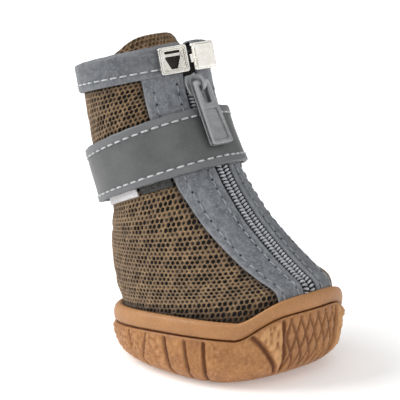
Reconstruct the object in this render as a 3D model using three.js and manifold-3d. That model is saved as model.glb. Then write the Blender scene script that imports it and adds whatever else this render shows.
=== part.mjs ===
// Dog boot: a rubber cup sole, a mesh upper with a front zip, a collar band with a clasp and a strap.
// Millimetres. +Z is up, +X points to the toe, +Y to the boot's left. The origin lies on the ground
// under the middle of the sole.
import * as THREE from 'three';
import { mergeVertices } from 'three/addons/utils/BufferGeometryUtils.js';
import Module from 'manifold-3d';

// ---- driving dimensions -------------------------------------------------------------------------

// Sections of the upper's outer face, from the hem inside the cup to the collar. Each is an oval in a
// plane across the boot that runs from a front point to a back point. A power of 2 is an ellipse, and
// more is squarer. zip_band is the half width that the zip and its two bands cover there.
const LEVEL_COLUMNS = ['at', 'front_x', 'front_z', 'back_x', 'back_z', 'half_width', 'power', 'zip_band'];
const LEVELS = [
  ['hem', 33.6, 17.5, -34.4, 9.8, 27.4, 2.3, 11.0],
  ['lip', 34.3, 28.8, -35.2, 15.4, 27.9, 2.2, 11.5],
  ['toe', 29.4, 32.8, -40.4, 20.5, 26.0, 2.1, 12.5],
  ['vamp', 22.9, 36.8, -43.4, 27.0, 23.8, 2.05, 13.2],
  ['instep', 11.7, 45.0, -44.8, 34.0, 21.6, 2.0, 13.6],
  ['ankle', 3.4, 53.2, -44.2, 39.5, 20.0, 2.0, 13.8],
  ['strap_low', -2.6, 61.0, -44.6, 44.6, 19.0, 2.0, 14.0],
  ['strap_high', -13.4, 78.3, -51.6, 60.6, 20.0, 2.0, 14.4],
  ['band_low', -17.1, 89.2, -55.7, 78.6, 20.1, 2.0, 14.6],
  ['collar', -19.5, 98.0, -57.9, 86.6, 19.8, 2.0, 14.6],
].map((row) => Object.fromEntries(LEVEL_COLUMNS.map((name, i) => [name, row[i]])));
const HEM = 0;
const LIP = 1;
const STRAP_LOW = 6;
const STRAP_HIGH = 7;
const BAND_LOW = 8;
const COLLAR = 9;

const GAP = 0.3;
const TOLERANCE = 0.02;
const OVERLAP = 0.1;
const MESH_WALL = 2.0;
const BAND_THICKNESS = 0.65;
const COIL_HALF_WIDTH = 2.5;
const COIL_HEIGHT = 0.95;
const ZIP_OPENING = 2.9;
const SLOT_HALF_WIDTH = 6.8;
const TAPE_HALF_WIDTH = 6.4;

const SOLE = {
  half_length: 37.2,
  half_width: 31,
  power: 2.3,
  spring_start: 14,
  spring_rise: 6,
  floor: 4.6,
  wall: 3.2,
};
const INSOLE_THICKNESS = 2.4;

// The lip climbs from the heel to the ball of the foot, and then over a bumper at the toe.
const LIP_LINE = {
  heel_x: -37.2,
  heel_z: 14.6,
  ball_x: 24,
  ball_z: 21.4,
  bumper_start: 25.5,
  bumper_end: 37,
  bumper_rise: 7.6,
};

// Rings of the sole's outer face: how far each lies inside the outline, and its height. lip_share 1
// puts the ring's height at the lip, 0 at the ground, and rise is added to that.
const SOLE_RINGS = [
  { inset: 12.0, lip_share: 0, rise: 0.0 },
  { inset: 7.6, lip_share: 0, rise: 0.35 },
  { inset: 4.8, lip_share: 0, rise: 1.3 },
  { inset: 2.4, lip_share: 0, rise: 3.1 },
  { inset: 0.9, lip_share: 0, rise: 5.4 },
  { inset: 0.1, lip_share: 0.35, rise: 2.6 },
  { inset: 0.2, lip_share: 1, rise: -6.1 },
  { inset: 1.2, lip_share: 1, rise: -5.7 },
  { inset: 1.2, lip_share: 1, rise: -5.3 },
  { inset: 0.0, lip_share: 1, rise: -4.7 },
  { inset: -0.5, lip_share: 1, rise: -2.6 },
  { inset: 0.1, lip_share: 1, rise: -0.8 },
  { inset: 1.2, lip_share: 1, rise: 0.0 },
];
const LUG_FIRST_RING = 1;
const LUG_LAST_RING = 6;
const AROUND = 72;

// Grooves that part the side lugs, as distances along the boot, and channels across the tread.
const LUG_GROOVES_X = [-31, -14, 3, 17.5, 30, 35.6];
const TREAD_CHANNELS_X = [-25.5, -15.3, -5.1, 5.1, 14.1];
const GROOVE_WIDTH = 1.5;
const GROOVE_DEPTH = 0.9;
const CHANNEL_WIDTH = 2.4;
const CHANNEL_DEPTH = 1.3;

const STRAP = {
  thickness: 1.2,
  clearance: 1.05,
  front_extra: 0.3,
  back_slack_low: 3.0,
  back_slack_high: 0.9,
};
// Strip and label under the strap's lower edge: levels up the shaft, and angles round it.
const PATCH_THICKNESS = 0.45;
const STRAP_BASE = { low: 5.74, high: 6.3, from: -1.37, to: -0.87 };
const LABEL_TAB = { low: 5.7, high: 6.3, from: -2.25, to: -1.43 };
const COLLAR_BAND = { thickness: 1.3, opening_half_angle: 0.13 };
const CLASP = { level: 8.42, angle: 0.31, width: 9.8, height: 8.6, base: 0.8, rim: 0.7, rim_width: 1.1 };
const CLASP_SLOT = { width: 4.6, low: 1.9, high: 2.8 };
const CLASP_WINDOW = { top_width: 4.0, top: 0.2, low_width: 1.4, low: -2.3 };
const CLASP_FOLD = { side_margin: 0.8, end_margin: 1.2 };
const CLASP_TONGUE = { length: 1.0, height: 2.6, thickness: 0.6, middle: -0.4 };
// The hook faces straight ahead: turned about its inner edge, shifted to the eye and let in.
const HOOK_STANCE = { turn: 0.28, closer: 1.0, let_in: 0.9 };
const PULL = { length: 20.2, top_width: 6.6, end_width: 8.6, thickness: 2.2, lean: 0.512 };
const PULL_SLOT = { width: 2.6, low: -6.4, high: -0.8 };
const PULL_PANEL = { top_width: 5.0, top: -8.4, low_width: 6.2, margin: 1.4, depth: 0.5 };
const BAIL = { inner_radius: 1.55, outer_radius: 2.5, half_width: 0.65, root: 0.4 };
const SLIDER = { low: 7.34, bail: 7.58, high: 7.9, half_width: 4.1, underside: 1.3, face: 2.5 };
const TONGUE = {
  thickness: 2.4,
  clearance: 1.0,
  half_width_low: 11.5,
  half_width_high: 18.6,
  low_level: 2.6,
  crown_level: 9.2,
  crown_drop: 0.75,
  lean: 7.2,
};

// ---- the upper's own surface --------------------------------------------------------------------

// Smooth value of one column of LEVELS at a level between two rows. Above the collar it runs on straight.
function column(name, level) {
  if (level > COLLAR) {
    return LEVELS[COLLAR][name] + (level - COLLAR) * (LEVELS[COLLAR][name] - LEVELS[BAND_LOW][name]);
  }
  const first = Math.min(Math.max(Math.floor(level), 0), LEVELS.length - 2);
  const share = level - first;
  const at = (row) => LEVELS[Math.min(Math.max(row, 0), LEVELS.length - 1)][name];
  const before = at(first - 1);
  const low = at(first);
  const high = at(first + 1);
  const after = at(first + 2);
  const bend = 2 * before - 5 * low + 4 * high - after;
  const twist = 3 * (low - high) + after - before;
  return low + 0.5 * share * (high - before + share * (bend + share * twist));
}

// A signed power, which turns a circle into a squarer oval.
function oval(value, power) {
  return Math.sign(value) * Math.abs(value) ** (2 / power);
}

// Point of the outer face at a level and an angle round the section. Angle 0 is the front.
function facePoint(level, angle) {
  const along = oval(Math.cos(angle), column('power', level));
  const across = oval(Math.sin(angle), column('power', level));
  const front = new THREE.Vector3(column('front_x', level), 0, column('front_z', level));
  const back = new THREE.Vector3(column('back_x', level), 0, column('back_z', level));
  const point = back.lerp(front, (1 + along) / 2);
  point.y = column('half_width', level) * across;
  return point;
}

// The same point moved out of the face by a distance, square to the face.
function skin(level, angle, out) {
  const step = 0.02;
  const low = Math.min(Math.max(level, HEM + step), COLLAR - step);
  const up = facePoint(low + step, angle).sub(facePoint(low - step, angle));
  const round = facePoint(low, angle + step).sub(facePoint(low, angle - step));
  const normal = round.cross(up).normalize();
  return facePoint(level, angle).addScaledVector(normal, out);
}

// The angle at which the front of the section is a given distance to the side.
function angleAt(level, side) {
  const share = Math.abs(side) / column('half_width', level);
  return Math.sign(side) * Math.asin(share ** (column('power', level) / 2));
}

function skinAtSide(level, side, out) {
  return skin(level, angleAt(level, side), out);
}

function steps(from, to, count) {
  return Array.from({ length: count + 1 }, (_, i) => from + ((to - from) * i) / count);
}

// ---- solids -------------------------------------------------------------------------------------

function solid(points, faces) {
  const geometry = new THREE.BufferGeometry();
  const numbers = points.flatMap((point) => point.toArray());
  geometry.setAttribute('position', new THREE.Float32BufferAttribute(numbers, 3));
  const volume = faces.reduce((sum, [a, b, c]) => {
    return sum + points[a].dot(new THREE.Vector3().crossVectors(points[b], points[c]));
  }, 0);
  geometry.setIndex(faces.flatMap(([a, b, c]) => (volume > 0 ? [a, b, c] : [a, c, b])));
  return geometry;
}

// A wall between an outer and an inner grid of points, closed along every edge. With around, the last
// column meets the first. hole(row, column) leaves that cell open, with walls round it.
function wall(outer, inner, { around = false, hole = () => false } = {}) {
  const rows = outer.length;
  const columns = outer[0].length;
  const points = [...outer.flat(), ...inner.flat()];
  const at = (side, row, col) => side * rows * columns + row * columns + (col % columns);
  const cellColumns = around ? columns : columns - 1;
  const faces = [];
  const quad = (a, b, c, d) => faces.push([a, b, c], [a, c, d]);
  const filled = (row, col) => {
    const inRows = row >= 0 && row < rows - 1;
    const inColumns = around || (col >= 0 && col < cellColumns);
    return inRows && inColumns && !hole(row, (col + cellColumns) % cellColumns);
  };
  for (let row = 0; row < rows - 1; row += 1) {
    for (let col = 0; col < cellColumns; col += 1) {
      if (!filled(row, col)) continue;
      quad(at(0, row, col), at(0, row, col + 1), at(0, row + 1, col + 1), at(0, row + 1, col));
      quad(at(1, row, col), at(1, row + 1, col), at(1, row + 1, col + 1), at(1, row, col + 1));
      const edge = ([rowA, colA], [rowB, colB]) => {
        quad(at(0, rowA, colA), at(1, rowA, colA), at(1, rowB, colB), at(0, rowB, colB));
      };
      if (!filled(row - 1, col)) edge([row, col], [row, col + 1]);
      if (!filled(row + 1, col)) edge([row + 1, col + 1], [row + 1, col]);
      if (!filled(row, col - 1)) edge([row + 1, col], [row, col]);
      if (!filled(row, col + 1)) edge([row, col + 1], [row + 1, col + 1]);
    }
  }
  return solid(points, faces);
}

// A closed body from rings that share one count, with a middle point at each end.
function ringBody(rings, firstMiddle, lastMiddle) {
  const count = rings[0].length;
  const points = [...rings.flat(), firstMiddle, lastMiddle];
  const first = points.length - 2;
  const last = points.length - 1;
  const top = (rings.length - 1) * count;
  const faces = [];
  for (let i = 0; i < count; i += 1) {
    const next = (i + 1) % count;
    faces.push([first, next, i], [last, top + i, top + next]);
    for (let ring = 0; ring < rings.length - 1; ring += 1) {
      const low = ring * count;
      const high = low + count;
      faces.push([low + i, low + next, high + next], [low + i, high + next, high + i]);
    }
  }
  return solid(points, faces);
}

const wasm = await Module();
wasm.setup();

function toManifold(geometry) {
  const bare = geometry.clone();
  bare.deleteAttribute('normal');
  bare.deleteAttribute('uv');
  const merged = mergeVertices(bare, 1e-4);
  return new wasm.Manifold(new wasm.Mesh({
    numProp: 3,
    vertProperties: new Float32Array(merged.attributes.position.array),
    triVerts: new Uint32Array(merged.index.array),
  }));
}

// The joined or cut body as a geometry, with slivers thinner than TOLERANCE closed up.
function fromManifold(body) {
  const mesh = body.setTolerance(TOLERANCE).getMesh();
  const geometry = new THREE.BufferGeometry();
  geometry.setAttribute('position', new THREE.BufferAttribute(new Float32Array(mesh.vertProperties), 3));
  geometry.setIndex(new THREE.BufferAttribute(new Uint32Array(mesh.triVerts), 1));
  return geometry;
}

// An outline drawn through corner points with rounded corners.
function roundedOutline(corners, radius, target = new THREE.Shape()) {
  const count = corners.length;
  corners.forEach((corner, i) => {
    const before = corners[(i + count - 1) % count];
    const after = corners[(i + 1) % count];
    const start = corner.clone().addScaledVector(before.clone().sub(corner).normalize(), radius);
    const end = corner.clone().addScaledVector(after.clone().sub(corner).normalize(), radius);
    if (i === 0) target.moveTo(start.x, start.y);
    else target.lineTo(start.x, start.y);
    target.quadraticCurveTo(corner.x, corner.y, end.x, end.y);
  });
  target.closePath();
  return target;
}

function rectangle(width, low, high) {
  return [
    new THREE.Vector2(-width / 2, low),
    new THREE.Vector2(width / 2, low),
    new THREE.Vector2(width / 2, high),
    new THREE.Vector2(-width / 2, high),
  ];
}

function plate(shape, depth, curveSegments = 3) {
  return new THREE.ExtrudeGeometry(shape, { depth, bevelEnabled: false, curveSegments });
}

// ---- sole ---------------------------------------------------------------------------------------

function outlinePoint(angle, inset) {
  const x = (SOLE.half_length - inset) * oval(Math.cos(angle), SOLE.power);
  const y = (SOLE.half_width - inset) * oval(Math.sin(angle), SOLE.power);
  return new THREE.Vector3(x, y, 0);
}

function toeSpring(x) {
  const share = Math.max(0, (x - SOLE.spring_start) / (SOLE.half_length - SOLE.spring_start));
  return SOLE.spring_rise * share ** 2;
}

function lipHeight(x) {
  const { heel_x, heel_z, ball_x, ball_z, bumper_start, bumper_end, bumper_rise } = LIP_LINE;
  const behind = Math.max(0, (ball_x - x) / (ball_x - heel_x));
  const bumper = THREE.MathUtils.smoothstep(x, bumper_start, bumper_end);
  return THREE.MathUtils.lerp(ball_z, heel_z, behind ** 2) + bumper_rise * bumper;
}

// The level at which the upper's face passes the lip, at an angle.
function lipLevel(angle) {
  const hem = skin(HEM, angle, GAP);
  const lip = skin(LIP, angle, GAP);
  const share = (lipHeight(lip.x) - hem.z) / (lip.z - hem.z);
  return THREE.MathUtils.clamp(share, 0, 1) * (LIP - HEM);
}

function ringOf(place) {
  return steps(0, 2 * Math.PI, AROUND).slice(0, AROUND).map(place);
}

function solePoint({ inset, lip_share, rise }, angle) {
  const point = outlinePoint(angle, inset);
  const ground = toeSpring(point.x);
  point.z = ground + (lipHeight(point.x) - ground) * lip_share + rise;
  return point;
}

function floorRing(inset, height) {
  return ringOf((angle) => {
    const point = outlinePoint(angle, inset);
    point.z = height + toeSpring(point.x);
    return point;
  });
}

// A bar that follows the side of the sole from the tread to the groove under the lip, to be cut out.
function lugGroove(x, side) {
  const middle = side * Math.acos(Math.sign(x) * Math.abs(x / SOLE.half_length) ** (SOLE.power / 2));
  const half = GROOVE_WIDTH / (2 * SOLE.half_width);
  const rings = SOLE_RINGS.slice(LUG_FIRST_RING, LUG_LAST_RING + 1);
  const grid = (shift) => rings.map(({ inset, lip_share, rise }) => {
    const moved = { inset: inset + shift, lip_share, rise: rise + OVERLAP };
    return [middle - half, middle + half].map((angle) => solePoint(moved, angle));
  });
  return wall(grid(-1), grid(GROOVE_DEPTH));
}

function outsoleGeometry() {
  const rings = [
    ...SOLE_RINGS.map((ring) => ringOf((angle) => solePoint(ring, angle))),
    ...[1, 0.5, 0].map((share) => ringOf((angle) => skin(HEM + share * lipLevel(angle), angle, GAP))),
    floorRing(SOLE.wall + 0.4, SOLE.floor + 2.6),
    floorRing(SOLE.wall + 1.6, SOLE.floor),
  ];
  const treadMiddle = new THREE.Vector3(SOLE.spring_start, 0, 0);
  const floorMiddle = new THREE.Vector3(SOLE.spring_start, 0, SOLE.floor);
  let body = toManifold(ringBody(rings, treadMiddle, floorMiddle));
  for (const x of LUG_GROOVES_X) {
    for (const side of [-1, 1]) body = body.subtract(toManifold(lugGroove(x, side)));
  }
  for (const x of TREAD_CHANNELS_X) {
    const channel = new THREE.BoxGeometry(CHANNEL_WIDTH, 2 * SOLE.half_width, 2 * CHANNEL_DEPTH);
    body = body.subtract(toManifold(channel.translate(x, 0, 0)));
  }
  return fromManifold(body);
}

function insoleGeometry() {
  const edge = SOLE.wall + 2.2;
  const low = SOLE.floor + GAP;
  const high = low + INSOLE_THICKNESS;
  const rings = [floorRing(edge, low), floorRing(edge - 0.3, low + 1), floorRing(edge, high)];
  const middle = (height) => new THREE.Vector3(SOLE.spring_start, 0, height);
  return ringBody(rings, middle(low), middle(high));
}

// ---- upper, tongue and zip ----------------------------------------------------------------------

const UPPER_LEVELS = [0, 0.5, 1, 1.33, 1.67, 2, 2.5, 3, 3.5, 4, 4.5, 5, 5.5, 6, 6.5, 7, 7.5, 8, 8.5, 9];
const UPPER_COLUMNS = 42;

function upperGeometry() {
  const grid = (out) => UPPER_LEVELS.map((level) => {
    const edge = angleAt(level, SLOT_HALF_WIDTH);
    const body = steps(edge, 2 * Math.PI - edge, UPPER_COLUMNS);
    return [0, ...body].map((angle) => skin(level, angle, out));
  });
  const slot = (row, col) => UPPER_LEVELS[row] >= LIP && (col === 0 || col === UPPER_COLUMNS + 1);
  return wall(grid(0), grid(-MESH_WALL), { around: true, hole: slot });
}

// The tongue follows the inside of the front, leans back from it near the top and ends in a rounded
// crown above the collar.
function tongueGeometry() {
  const depth = MESH_WALL + TONGUE.clearance;
  const climbs = steps(0, 1, 14);
  const shares = steps(-1, 1, 10);
  const grid = (out) => climbs.map((climb) => shares.map((share) => {
    const top = TONGUE.crown_level - TONGUE.crown_drop * share ** 4;
    const level = THREE.MathUtils.lerp(TONGUE.low_level, top, climb);
    const half = THREE.MathUtils.lerp(TONGUE.half_width_low, TONGUE.half_width_high, climb);
    const point = skinAtSide(level, share * half, out);
    point.x -= TONGUE.lean * climb ** 6;
    return point;
  }));
  return wall(grid(-depth), grid(-depth - TONGUE.thickness));
}

const ZIP_LEVELS = [1.04, 1.4, 1.7, 2, 2.5, 3, 3.5, 4, 4.5, 5, 5.5, 6, 6.5, 7, 7.5, 7.96];

// The lowest level at which a piece that stands off the face passes clear over the lip of the sole.
function lowestOverLip(side, out) {
  const levels = steps(HEM, 2 * LIP, 400);
  return levels.find((level) => {
    const point = skinAtSide(level, side, out);
    return point.z > lipHeight(point.x) + 2 * GAP;
  });
}

// A band beside the zip. Its lower edge follows the lip.
function zipBandGeometry(side) {
  const top = ZIP_LEVELS[ZIP_LEVELS.length - 1];
  const outer = GAP + BAND_THICKNESS;
  const grid = (out) => ZIP_LEVELS.map((level) => {
    const climb = (level - ZIP_LEVELS[0]) / (top - ZIP_LEVELS[0]);
    return steps(ZIP_OPENING, column('zip_band', level), 5).map((distance) => {
      const lowest = lowestOverLip(distance, outer);
      return skinAtSide(THREE.MathUtils.lerp(lowest, top, climb), side * distance, out);
    });
  });
  return wall(grid(outer), grid(GAP));
}

function zipChainGeometry() {
  const section = [
    { side: -TAPE_HALF_WIDTH, out: -0.1 },
    { side: -COIL_HALF_WIDTH, out: -0.1 },
    { side: -0.7 * COIL_HALF_WIDTH, out: COIL_HEIGHT },
    { side: 0.7 * COIL_HALF_WIDTH, out: COIL_HEIGHT },
    { side: COIL_HALF_WIDTH, out: -0.1 },
    { side: TAPE_HALF_WIDTH, out: -0.1 },
  ];
  const under = GAP - MESH_WALL;
  const outer = ZIP_LEVELS.map((level) => section.map(({ side, out }) => skinAtSide(level, side, out)));
  const inner = ZIP_LEVELS.map((level) => section.map(({ side }) => skinAtSide(level, side, under)));
  return wall(outer, inner);
}

// ---- collar band, strap and label ---------------------------------------------------------------

function collarBandGeometry() {
  const levels = steps(BAND_LOW, COLLAR, 3);
  const angles = steps(COLLAR_BAND.opening_half_angle, 2 * Math.PI - COLLAR_BAND.opening_half_angle, 40);
  const grid = (out) => levels.map((level) => angles.map((angle) => skin(level, angle, out)));
  return wall(grid(GAP + COLLAR_BAND.thickness), grid(GAP));
}

// How far the strap's inner face stands off the upper: close at the sides, over the zip bands at the
// front, and slack at the back.
function strapStandOff(level, angle) {
  const climb = (level - STRAP_LOW) / (STRAP_HIGH - STRAP_LOW);
  const slack = THREE.MathUtils.lerp(STRAP.back_slack_low, STRAP.back_slack_high, climb);
  const back = Math.max(0, -Math.cos(angle)) ** 1.5;
  const front = Math.max(0, Math.cos(angle));
  return STRAP.clearance + STRAP.front_extra * Math.min(1, 2 * front) + slack * back;
}

function strapGeometry() {
  const levels = steps(STRAP_LOW + 0.02, STRAP_HIGH - 0.02, 4);
  const angles = steps(0, 2 * Math.PI, 44).slice(0, 44);
  const grid = (out) => levels.map((level) => angles.map((angle) => {
    return skin(level, angle, strapStandOff(level, angle) + out);
  }));
  return wall(grid(STRAP.thickness), grid(0), { around: true });
}

// A thin patch on the upper between two levels and two angles.
function patchGeometry({ low, high, from, to }) {
  const levels = steps(low, high, 2);
  const angles = steps(from, to, 6);
  const grid = (out) => levels.map((level) => angles.map((angle) => skin(level, angle, out)));
  return wall(grid(GAP + PATCH_THICKNESS), grid(GAP));
}

// ---- metal parts --------------------------------------------------------------------------------

// Places a flat piece that was drawn in its own frame: its X runs across the boot, its Y up the
// shaft and its Z out of the face.
function onFace(geometry, level, angle, out) {
  const step = 0.02;
  const middle = skin(level, angle, out);
  const across = skin(level, angle + step, out).sub(skin(level, angle - step, out)).normalize();
  const outward = skin(level, angle, out + 1).sub(middle).normalize();
  const up = outward.clone().cross(across).normalize();
  const frame = new THREE.Matrix4().makeBasis(across, up, outward).setPosition(middle);
  return geometry.applyMatrix4(frame);
}

const claspOut = GAP + COLLAR_BAND.thickness + GAP;
const claspOutline = rectangle(CLASP.width, -CLASP.height / 2, CLASP.height / 2);

// A symmetric four-cornered outline that is wider at one end.
function trapezoid(highWidth, high, lowWidth, low) {
  return [
    new THREE.Vector2(-lowWidth / 2, low),
    new THREE.Vector2(lowWidth / 2, low),
    new THREE.Vector2(highWidth / 2, high),
    new THREE.Vector2(-highWidth / 2, high),
  ];
}

// A plate with a second one raised on it.
function raisedPlate(base, top) {
  const raised = plate(top, CLASP.rim + OVERLAP).translate(0, 0, CLASP.base - OVERLAP);
  return toManifold(plate(base, CLASP.base)).add(toManifold(raised));
}

function claspEyeGeometry() {
  const { width, low, high } = CLASP_SLOT;
  const { top_width, top, low_width } = CLASP_WINDOW;
  const base = roundedOutline(claspOutline, 1.2);
  base.holes.push(roundedOutline(rectangle(width, low, high), 0.3, new THREE.Path()));
  const window = trapezoid(top_width, top, low_width, CLASP_WINDOW.low);
  base.holes.push(roundedOutline(window, 0.4, new THREE.Path()));
  const rim = roundedOutline(claspOutline, 1.2);
  const halfInside = CLASP.height / 2 - CLASP.rim_width;
  const inside = rectangle(CLASP.width - 2 * CLASP.rim_width, -halfInside, halfInside);
  rim.holes.push(roundedOutline(inside, 0.7, new THREE.Path()));
  return onFace(fromManifold(raisedPlate(base, rim)), CLASP.level, -CLASP.angle, claspOut);
}

function claspHookGeometry() {
  const halfFold = CLASP.height / 2 - CLASP_FOLD.end_margin;
  const fold = rectangle(CLASP.width - 2 * CLASP_FOLD.side_margin, -halfFold, halfFold);
  const { length, height, thickness, middle } = CLASP_TONGUE;
  const tongue = new THREE.BoxGeometry(length, height, thickness);
  tongue.translate(OVERLAP - (CLASP.width + length) / 2, middle, thickness / 2);
  const plates = raisedPlate(roundedOutline(claspOutline, 1.0), roundedOutline(fold, 0.8));
  const hook = fromManifold(plates.add(toManifold(tongue)));
  hook.translate(CLASP.width / 2, 0, 0).rotateY(-HOOK_STANCE.turn);
  hook.translate(-CLASP.width / 2 - HOOK_STANCE.closer, 0, 0);
  return onFace(hook, CLASP.level, CLASP.angle, claspOut - HOOK_STANCE.let_in);
}

// Hinge of the pull: the middle of its top bar, under the slider's bail.
const hinge = skin(SLIDER.bail, 0, SLIDER.face + BAIL.inner_radius);

// Turns a piece drawn flat, with its length down -Y and its face to +Z, into the pull's resting place.
function hangFromHinge(geometry) {
  const down = new THREE.Vector3(Math.sin(PULL.lean), 0, -Math.cos(PULL.lean));
  const across = new THREE.Vector3(0, 1, 0);
  const outward = new THREE.Vector3().crossVectors(across, down.clone().negate());
  const frame = new THREE.Matrix4().makeBasis(across, down.clone().negate(), outward);
  return geometry.applyMatrix4(frame.setPosition(hinge));
}

function pullGeometry() {
  const half = PULL.thickness / 2;
  const end = -PULL.length;
  const outline = roundedOutline(trapezoid(PULL.top_width, half, PULL.end_width, end), 1.0);
  const slot = rectangle(PULL_SLOT.width, PULL_SLOT.low, PULL_SLOT.high);
  outline.holes.push(roundedOutline(slot, 0.5, new THREE.Path()));
  const front = plate(outline, 2 * PULL.thickness).translate(0, 0, -PULL.thickness);
  const profile = new THREE.Shape();
  profile.absarc(0, 0, half, 0, Math.PI, false);
  profile.lineTo(-half, end - 1);
  profile.lineTo(half, end - 1);
  profile.closePath();
  const side = plate(profile, 2 * PULL.end_width, 5).translate(0, 0, -PULL.end_width).rotateY(Math.PI / 2);
  const { top_width, top, low_width, margin, depth } = PULL_PANEL;
  const panel = roundedOutline(trapezoid(top_width, top, low_width, end + margin), 0.8);
  const recess = plate(panel, PULL.thickness).translate(0, 0, half - depth);
  const body = toManifold(front).intersect(toManifold(side)).subtract(toManifold(recess));
  return hangFromHinge(fromManifold(body));
}

function sliderGeometry() {
  const levels = steps(SLIDER.low, SLIDER.high, 2);
  const sides = steps(-SLIDER.half_width, SLIDER.half_width, 4);
  const grid = (out) => levels.map((level) => sides.map((side) => skinAtSide(level, side, out)));
  const body = toManifold(wall(grid(SLIDER.face), grid(SLIDER.underside)));
  const arch = new THREE.Shape();
  const foot = -BAIL.inner_radius - BAIL.root;
  arch.absarc(0, 0, BAIL.outer_radius, 0, Math.PI, false);
  arch.lineTo(-BAIL.outer_radius, foot);
  arch.lineTo(-BAIL.inner_radius, foot);
  arch.absarc(0, 0, BAIL.inner_radius, Math.PI, 0, true);
  arch.lineTo(BAIL.inner_radius, foot);
  arch.lineTo(BAIL.outer_radius, foot);
  arch.closePath();
  const bail = plate(arch, 2 * BAIL.half_width, 6).translate(0, 0, -BAIL.half_width);
  bail.rotateX(Math.PI / 2).rotateZ(Math.PI / 2);
  const placed = onFace(bail, SLIDER.bail, 0, SLIDER.face + BAIL.inner_radius);
  return fromManifold(body.add(toManifold(placed)));
}

// ---- the boot -----------------------------------------------------------------------------------

const FINISHES = {
  gum_rubber: { color: 0xb98250, roughness: 0.55, metalness: 0 },
  foam: { color: 0x3c3a38, roughness: 0.95, metalness: 0 },
  air_mesh: { color: 0x8a7158, roughness: 0.9, metalness: 0 },
  blue_webbing: { color: 0x848b93, roughness: 0.85, metalness: 0 },
  zip_tape: { color: 0xa8abb0, roughness: 0.6, metalness: 0 },
  strap_webbing: { color: 0x6e6e6e, roughness: 0.6, metalness: 0 },
  dark_loop: { color: 0x3c3c3b, roughness: 0.95, metalness: 0 },
  white_tape: { color: 0xd8d6d6, roughness: 0.9, metalness: 0 },
  nickel: { color: 0xd8d4c8, roughness: 0.25, metalness: 1 },
  grey_paint: { color: 0x6f7072, roughness: 0.4, metalness: 0.3 },
};

const boot = new THREE.Group();

function add(name, geometry, finish) {
  const bare = geometry.clone();
  bare.deleteAttribute('normal');
  bare.deleteAttribute('uv');
  const mesh = new THREE.Mesh(bare, new THREE.MeshStandardMaterial(FINISHES[finish]));
  mesh.name = name;
  boot.add(mesh);
}

add('outsole', outsoleGeometry(), 'gum_rubber');
add('insole', insoleGeometry(), 'foam');
add('upper', upperGeometry(), 'air_mesh');
add('tongue', tongueGeometry(), 'air_mesh');
add('zip_band_right', zipBandGeometry(-1), 'blue_webbing');
add('zip_band_left', zipBandGeometry(1), 'blue_webbing');
add('zip_chain', zipChainGeometry(), 'zip_tape');
add('collar_band', collarBandGeometry(), 'blue_webbing');
add('strap', strapGeometry(), 'strap_webbing');
add('strap_base', patchGeometry(STRAP_BASE), 'dark_loop');
add('label_tab', patchGeometry(LABEL_TAB), 'white_tape');
add('clasp_eye', claspEyeGeometry(), 'nickel');
add('clasp_hook', claspHookGeometry(), 'nickel');
add('zip_slider', sliderGeometry(), 'grey_paint');
add('zip_pull', pullGeometry(), 'grey_paint');

export default boot;
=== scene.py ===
"""Looks of a dog boot: a gum rubber cup sole, a knitted upper with a front zip, a collar binding with a
clasp, and a strap. Metres in the scene, millimetres in the tables. +X is the toe, +Y the boot's left."""

import math
import random

import bmesh
import bpy
import numpy as np
from mathutils import Matrix, Vector


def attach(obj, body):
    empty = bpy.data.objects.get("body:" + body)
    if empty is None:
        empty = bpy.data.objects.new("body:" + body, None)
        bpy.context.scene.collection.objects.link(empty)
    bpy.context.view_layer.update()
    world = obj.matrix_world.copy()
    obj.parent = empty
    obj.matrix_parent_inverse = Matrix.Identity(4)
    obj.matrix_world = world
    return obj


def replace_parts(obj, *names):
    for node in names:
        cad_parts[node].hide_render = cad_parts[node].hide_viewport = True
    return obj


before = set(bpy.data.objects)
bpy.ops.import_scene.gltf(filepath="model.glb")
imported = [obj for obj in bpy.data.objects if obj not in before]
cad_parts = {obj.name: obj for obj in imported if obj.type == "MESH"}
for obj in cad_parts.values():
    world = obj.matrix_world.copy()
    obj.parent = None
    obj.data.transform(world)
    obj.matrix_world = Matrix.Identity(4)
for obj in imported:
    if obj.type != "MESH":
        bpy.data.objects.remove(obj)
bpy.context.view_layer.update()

MM = 0.001
BOOT = "boot"
PULL = "pull"
chance = random.Random(11)

# ---- the upper's surface, as in the part's own design --------------------------------------------

LEVEL_COLUMNS = ("front_x", "front_z", "back_x", "back_z", "half_width", "power", "zip_band")
LEVELS = np.array((
    (33.6, 17.5, -34.4, 9.8, 27.4, 2.3, 11.0),  # hem, inside the cup
    (34.3, 28.8, -35.2, 15.4, 27.9, 2.2, 11.5),  # lip of the cup
    (29.4, 32.8, -40.4, 20.5, 26.0, 2.1, 12.5),
    (22.9, 36.8, -43.4, 27.0, 23.8, 2.05, 13.2),
    (11.7, 45.0, -44.8, 34.0, 21.6, 2.0, 13.6),
    (3.4, 53.2, -44.2, 39.5, 20.0, 2.0, 13.8),
    (-2.6, 61.0, -44.6, 44.6, 19.0, 2.0, 14.0),  # strap's lower edge
    (-13.4, 78.3, -51.6, 60.6, 20.0, 2.0, 14.4),  # strap's upper edge
    (-17.1, 89.2, -55.7, 78.6, 20.1, 2.0, 14.6),  # binding's lower edge
    (-19.5, 98.0, -57.9, 86.6, 19.8, 2.0, 14.6),  # collar
))
HEM, LIP, STRAP_LOW, BAND_LOW, COLLAR = 0, 1, 6, 8, 9
GAP = 0.3
WALL = 2.0
SLOT_HALF_WIDTH = 6.8


def blend(low, high, share):
    return low + (high - low) * share


def smooth(value, start, end):
    share = np.clip((value - start) / (end - start), 0, 1)
    return share * share * (3 - 2 * share)


def bump(value, middle, reach):
    return np.exp(-(((value - middle) / reach) ** 2))


def stacked(*values):
    """Values side by side in the last axis of one array."""
    return np.stack(np.broadcast_arrays(*values), -1)


def run_along(points):
    """Length along a line of points, from its start to each of them."""
    return np.r_[0, np.cumsum(np.linalg.norm(np.diff(points, axis=0), axis=1))]


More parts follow.
